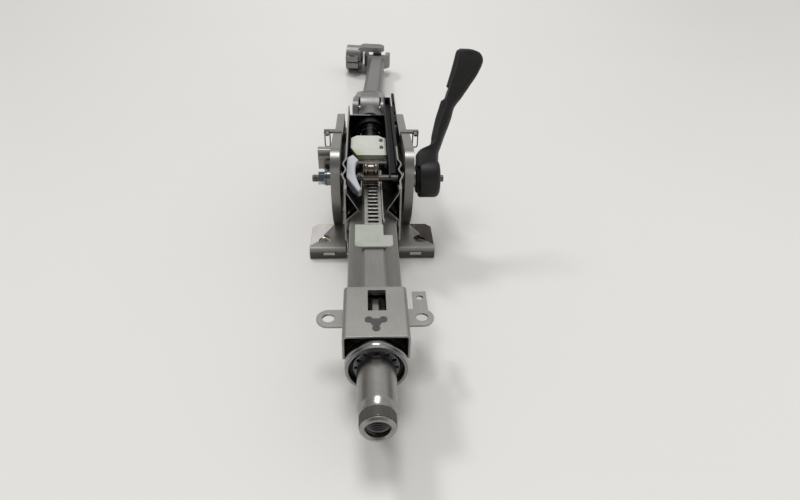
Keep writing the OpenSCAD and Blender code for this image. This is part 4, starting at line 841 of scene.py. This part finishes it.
class COLUMN_OT_joints(bpy.types.Operator):
    """Cardan joints and the welded intermediate shaft"""

    bl_idname = "column.joints"
    bl_label = "Cardan joints"

    def execute(self, context):
        s = sizes()
        dress("forged", s.soft_edge, "upper_input_yoke", "upper_output_yoke", "lower_input_yoke",
              "lower_clamp_yoke")
        dress("forged", s.edge, "intermediate_tube")
        dress("turned", s.edge, "upper_cross", "lower_cross")
        dress("forged", s.edge, "upper_input_cups", "upper_output_cups", "lower_input_cups",
              "lower_clamp_cups")
        mesh = bmesh.new()
        near, far = JOINT_POINTS["upper_joint_yaw"], JOINT_POINTS["lower_joint_fold"]
        along = (far - near).normalized()
        for centre in (near + along * WELD_NECK, far - along * WELD_NECK):
            self.bead(mesh, centre, along, s.weld)
        piece("weld_beads", mesh, "intermediate", "forged", sharp_deg=70)
        return {"FINISHED"}

    def bead(self, mesh, centre, along, radius):
        """Rippled bead round the flattened tube."""
        side = along.cross(Z_AXIS).normalized()
        up = side.cross(along)
        tube_r, flat, ripples, steps, sides = 12.5 * MM, 10 * MM, 26, 104, 10
        rings = []
        for i in range(steps):
            turn = 2 * math.pi * i / steps
            x, z = tube_r * math.cos(turn), max(-flat, min(flat, tube_r * math.sin(turn)))
            out = (side * x + up * z).normalized()
            swell = radius * (0.85 + 0.15 * math.cos(ripples * turn))
            middle = centre + side * x + up * z
            rings.append([middle + (out * math.cos(a) + along * 1.5 * math.sin(a)) * swell
                          for a in (2 * math.pi * k / sides for k in range(sides))])
        skin(mesh, rings, loop=True)


class COLUMN_OT_stage(bpy.types.Operator):
    """Pale table, soft studio light and the camera"""

    bl_idname = "column.stage"
    bl_label = "Stage"

    def execute(self, context):
        self.table(context)
        self.lights(context)
        self.camera(context)
        return {"FINISHED"}

    def table(self, context):
        """A smooth pale table top, a little glossy."""
        level, half = CAD_BOX[0].z, 6.0
        mesh = bmesh.new()
        mesh.faces.new([mesh.verts.new((x * half, y * half, level))
                        for x, y in ((-1, -1), (1, -1), (1, 1), (-1, 1))])
        data = bpy.data.meshes.new("table")
        mesh.to_mesh(data)
        mesh.free()
        # Painted board: broad soft unevenness and a low sheen
        material, tree, shader = new_finish("painted_table_board")
        place = add(tree, "ShaderNodeTexCoord").outputs["Object"]
        cloud = add(tree, "ShaderNodeTexNoise", {"Vector": place, "Scale": per_mm(350),
                                                 "Detail": 3.0}).outputs["Fac"]
        base = colours().table
        tone = add(tree, "ShaderNodeMix", {"Factor": cloud, "A": shade(base, 0.98), "B": shade(base, 1.02)},
                   data_type="RGBA")
        tree.links.new(tone.outputs[2], shader.inputs["Base Color"])
        shader.inputs["Roughness"].default_value = 0.3
        shader.inputs["Specular IOR Level"].default_value = 0.25
        data.materials.append(material)
        table = bpy.data.objects.new("table", data)
        context.scene.collection.objects.link(table)

    def lights(self, context):
        """A pale room, brighter overhead and behind the column, and two soft lamps."""
        world = bpy.data.worlds.new("pale_room")
        world.use_nodes = True
        tree = world.node_tree
        facing = add(tree, "ShaderNodeTexCoord").outputs["Generated"]
        sky = add(tree, "ShaderNodeSeparateXYZ", {"Vector": facing})
        level = 1.0
        for axis, start, end, least, most in ROOM:
            part = add(tree, "ShaderNodeMapRange", {"Value": sky.outputs[axis], "From Min": start,
                                                    "From Max": end, "To Min": least, "To Max": most})
            level = add(tree, "ShaderNodeMath", {0: level, 1: part.outputs["Result"]},
                        operation="MULTIPLY").outputs[0]
        # The pale backdrop stands low all round, where the camera, gloss and glass see it
        low = add(tree, "ShaderNodeMapRange", {"Value": sky.outputs["Z"], "From Min": 0.2, "From Max": 0.5,
                                               "To Min": 1.0, "To Max": 0.0})
        path = add(tree, "ShaderNodeLightPath")
        seen = path.outputs["Is Camera Ray"]
        for ray in ("Is Glossy Ray", "Is Transmission Ray"):
            seen = add(tree, "ShaderNodeMath", {0: seen, 1: path.outputs[ray]},
                       operation="MAXIMUM").outputs[0]
        seen = add(tree, "ShaderNodeMath", {0: seen, 1: low.outputs["Result"]}, operation="MULTIPLY")
        # Gloss sees it darker beyond the column, to the left and the right of it
        aside = add(tree, "ShaderNodeMath", {0: sky.outputs["X"]}, operation="ABSOLUTE")
        gap = add(tree, "ShaderNodeMapRange", {"Value": aside.outputs[0], "From Min": 0.12, "From Max": 0.5})
        far = add(tree, "ShaderNodeMapRange", {"Value": sky.outputs["Y"], "From Min": 0.35, "From Max": 0.6})
        gap = add(tree, "ShaderNodeMath", {0: gap.outputs["Result"], 1: far.outputs["Result"]},
                  operation="MULTIPLY")
        pale = add(tree, "ShaderNodeMapRange", {"Value": gap.outputs[0], "To Min": PALE, "To Max": SHADED})
        pale = add(tree, "ShaderNodeMix", {"Factor": path.outputs["Is Camera Ray"],
                                           "A": pale.outputs["Result"], "B": PALE})
        shown = add(tree, "ShaderNodeMix", {"Factor": seen.outputs[0], "A": level, "B": pale.outputs[0]})
        tree.links.new(shown.outputs[0], tree.nodes["Background"].inputs["Strength"])
        tree.nodes["Background"].inputs["Color"].default_value = ROOM_TINT
        context.scene.world = world
        for name, energy, wide, lean, side, mirrored in LAMPS:
            light = bpy.data.lights.new(name, "SUN")
            light.energy, light.angle = energy, math.radians(wide)
            lamp = bpy.data.objects.new(name, light)
            lamp.location = (0, 0.2, 2)
            lamp.rotation_euler = (math.radians(lean), math.radians(side), 0)
            lamp.visible_glossy = mirrored
            context.scene.collection.objects.link(lamp)

    def camera(self, context):
        """The photograph's viewpoint: above the wheel end, looking along the column."""
        pitch, yaw, roll = (math.radians(a) for a in CAMERA_ANGLES)
        forward = Vector((math.sin(yaw) * math.cos(pitch), math.cos(yaw) * math.cos(pitch), -math.sin(pitch)))
        level = Vector((math.cos(yaw), -math.sin(yaw), 0))
        down = forward.cross(level)
        right = level * math.cos(roll) + down * math.sin(roll)
        up = level * math.sin(roll) - down * math.cos(roll)
        data = bpy.data.cameras.new("camera")
        data.sensor_width, data.lens = 36.0, CAMERA_LENS
        data.clip_start, data.clip_end = 0.01, 50.0
        camera = bpy.data.objects.new("camera", data)
        turn = Matrix((right, up, -forward)).transposed().to_4x4()
        camera.matrix_world = Matrix.Translation(CAMERA_PLACE) @ turn
        context.scene.collection.objects.link(camera)
        context.scene.camera = camera
        context.scene.view_settings.view_transform = "Standard"


class VIEW3D_PT_column(bpy.types.Panel):
    """Sidebar panel with the column's steps"""

    bl_label = "Steering column"
    bl_idname = "VIEW3D_PT_column"
    bl_space_type = "VIEW_3D"
    bl_region_type = "UI"
    bl_category = "Column"

    def draw(self, context):
        for step in STEPS:
            self.layout.operator(step.bl_idname)
        for group in (context.scene.column_sizes, context.scene.column_colours):
            box = self.layout.box()
            for name in group.bl_rna.properties.keys():
                if name not in ("rna_type", "name"):
                    box.prop(group, name)


STEPS = (COLUMN_OT_shafts, COLUMN_OT_bearings, COLUMN_OT_jacket, COLUMN_OT_rack, COLUMN_OT_housing,
         COLUMN_OT_bracket, COLUMN_OT_clamp, COLUMN_OT_lever, COLUMN_OT_joints, COLUMN_OT_stage)
CLASSES = (ColumnSizes, ColumnColours, *STEPS, VIEW3D_PT_column)


def register():
    """Register the classes and give the scene its sizes and colours."""
    for cls in CLASSES:
        bpy.utils.register_class(cls)
    bpy.types.Scene.column_sizes = bpy.props.PointerProperty(type=ColumnSizes)
    bpy.types.Scene.column_colours = bpy.props.PointerProperty(type=ColumnColours)


def unregister():
    """Take back what register did."""
    del bpy.types.Scene.column_colours
    del bpy.types.Scene.column_sizes
    for cls in reversed(CLASSES):
        bpy.utils.unregister_class(cls)


def main():
    """Dress the frame step by step."""
    register()
    for step in STEPS:
        group, name = step.bl_idname.split(".")
        getattr(getattr(bpy.ops, group), name)()


if __name__ == "__main__":
    main()
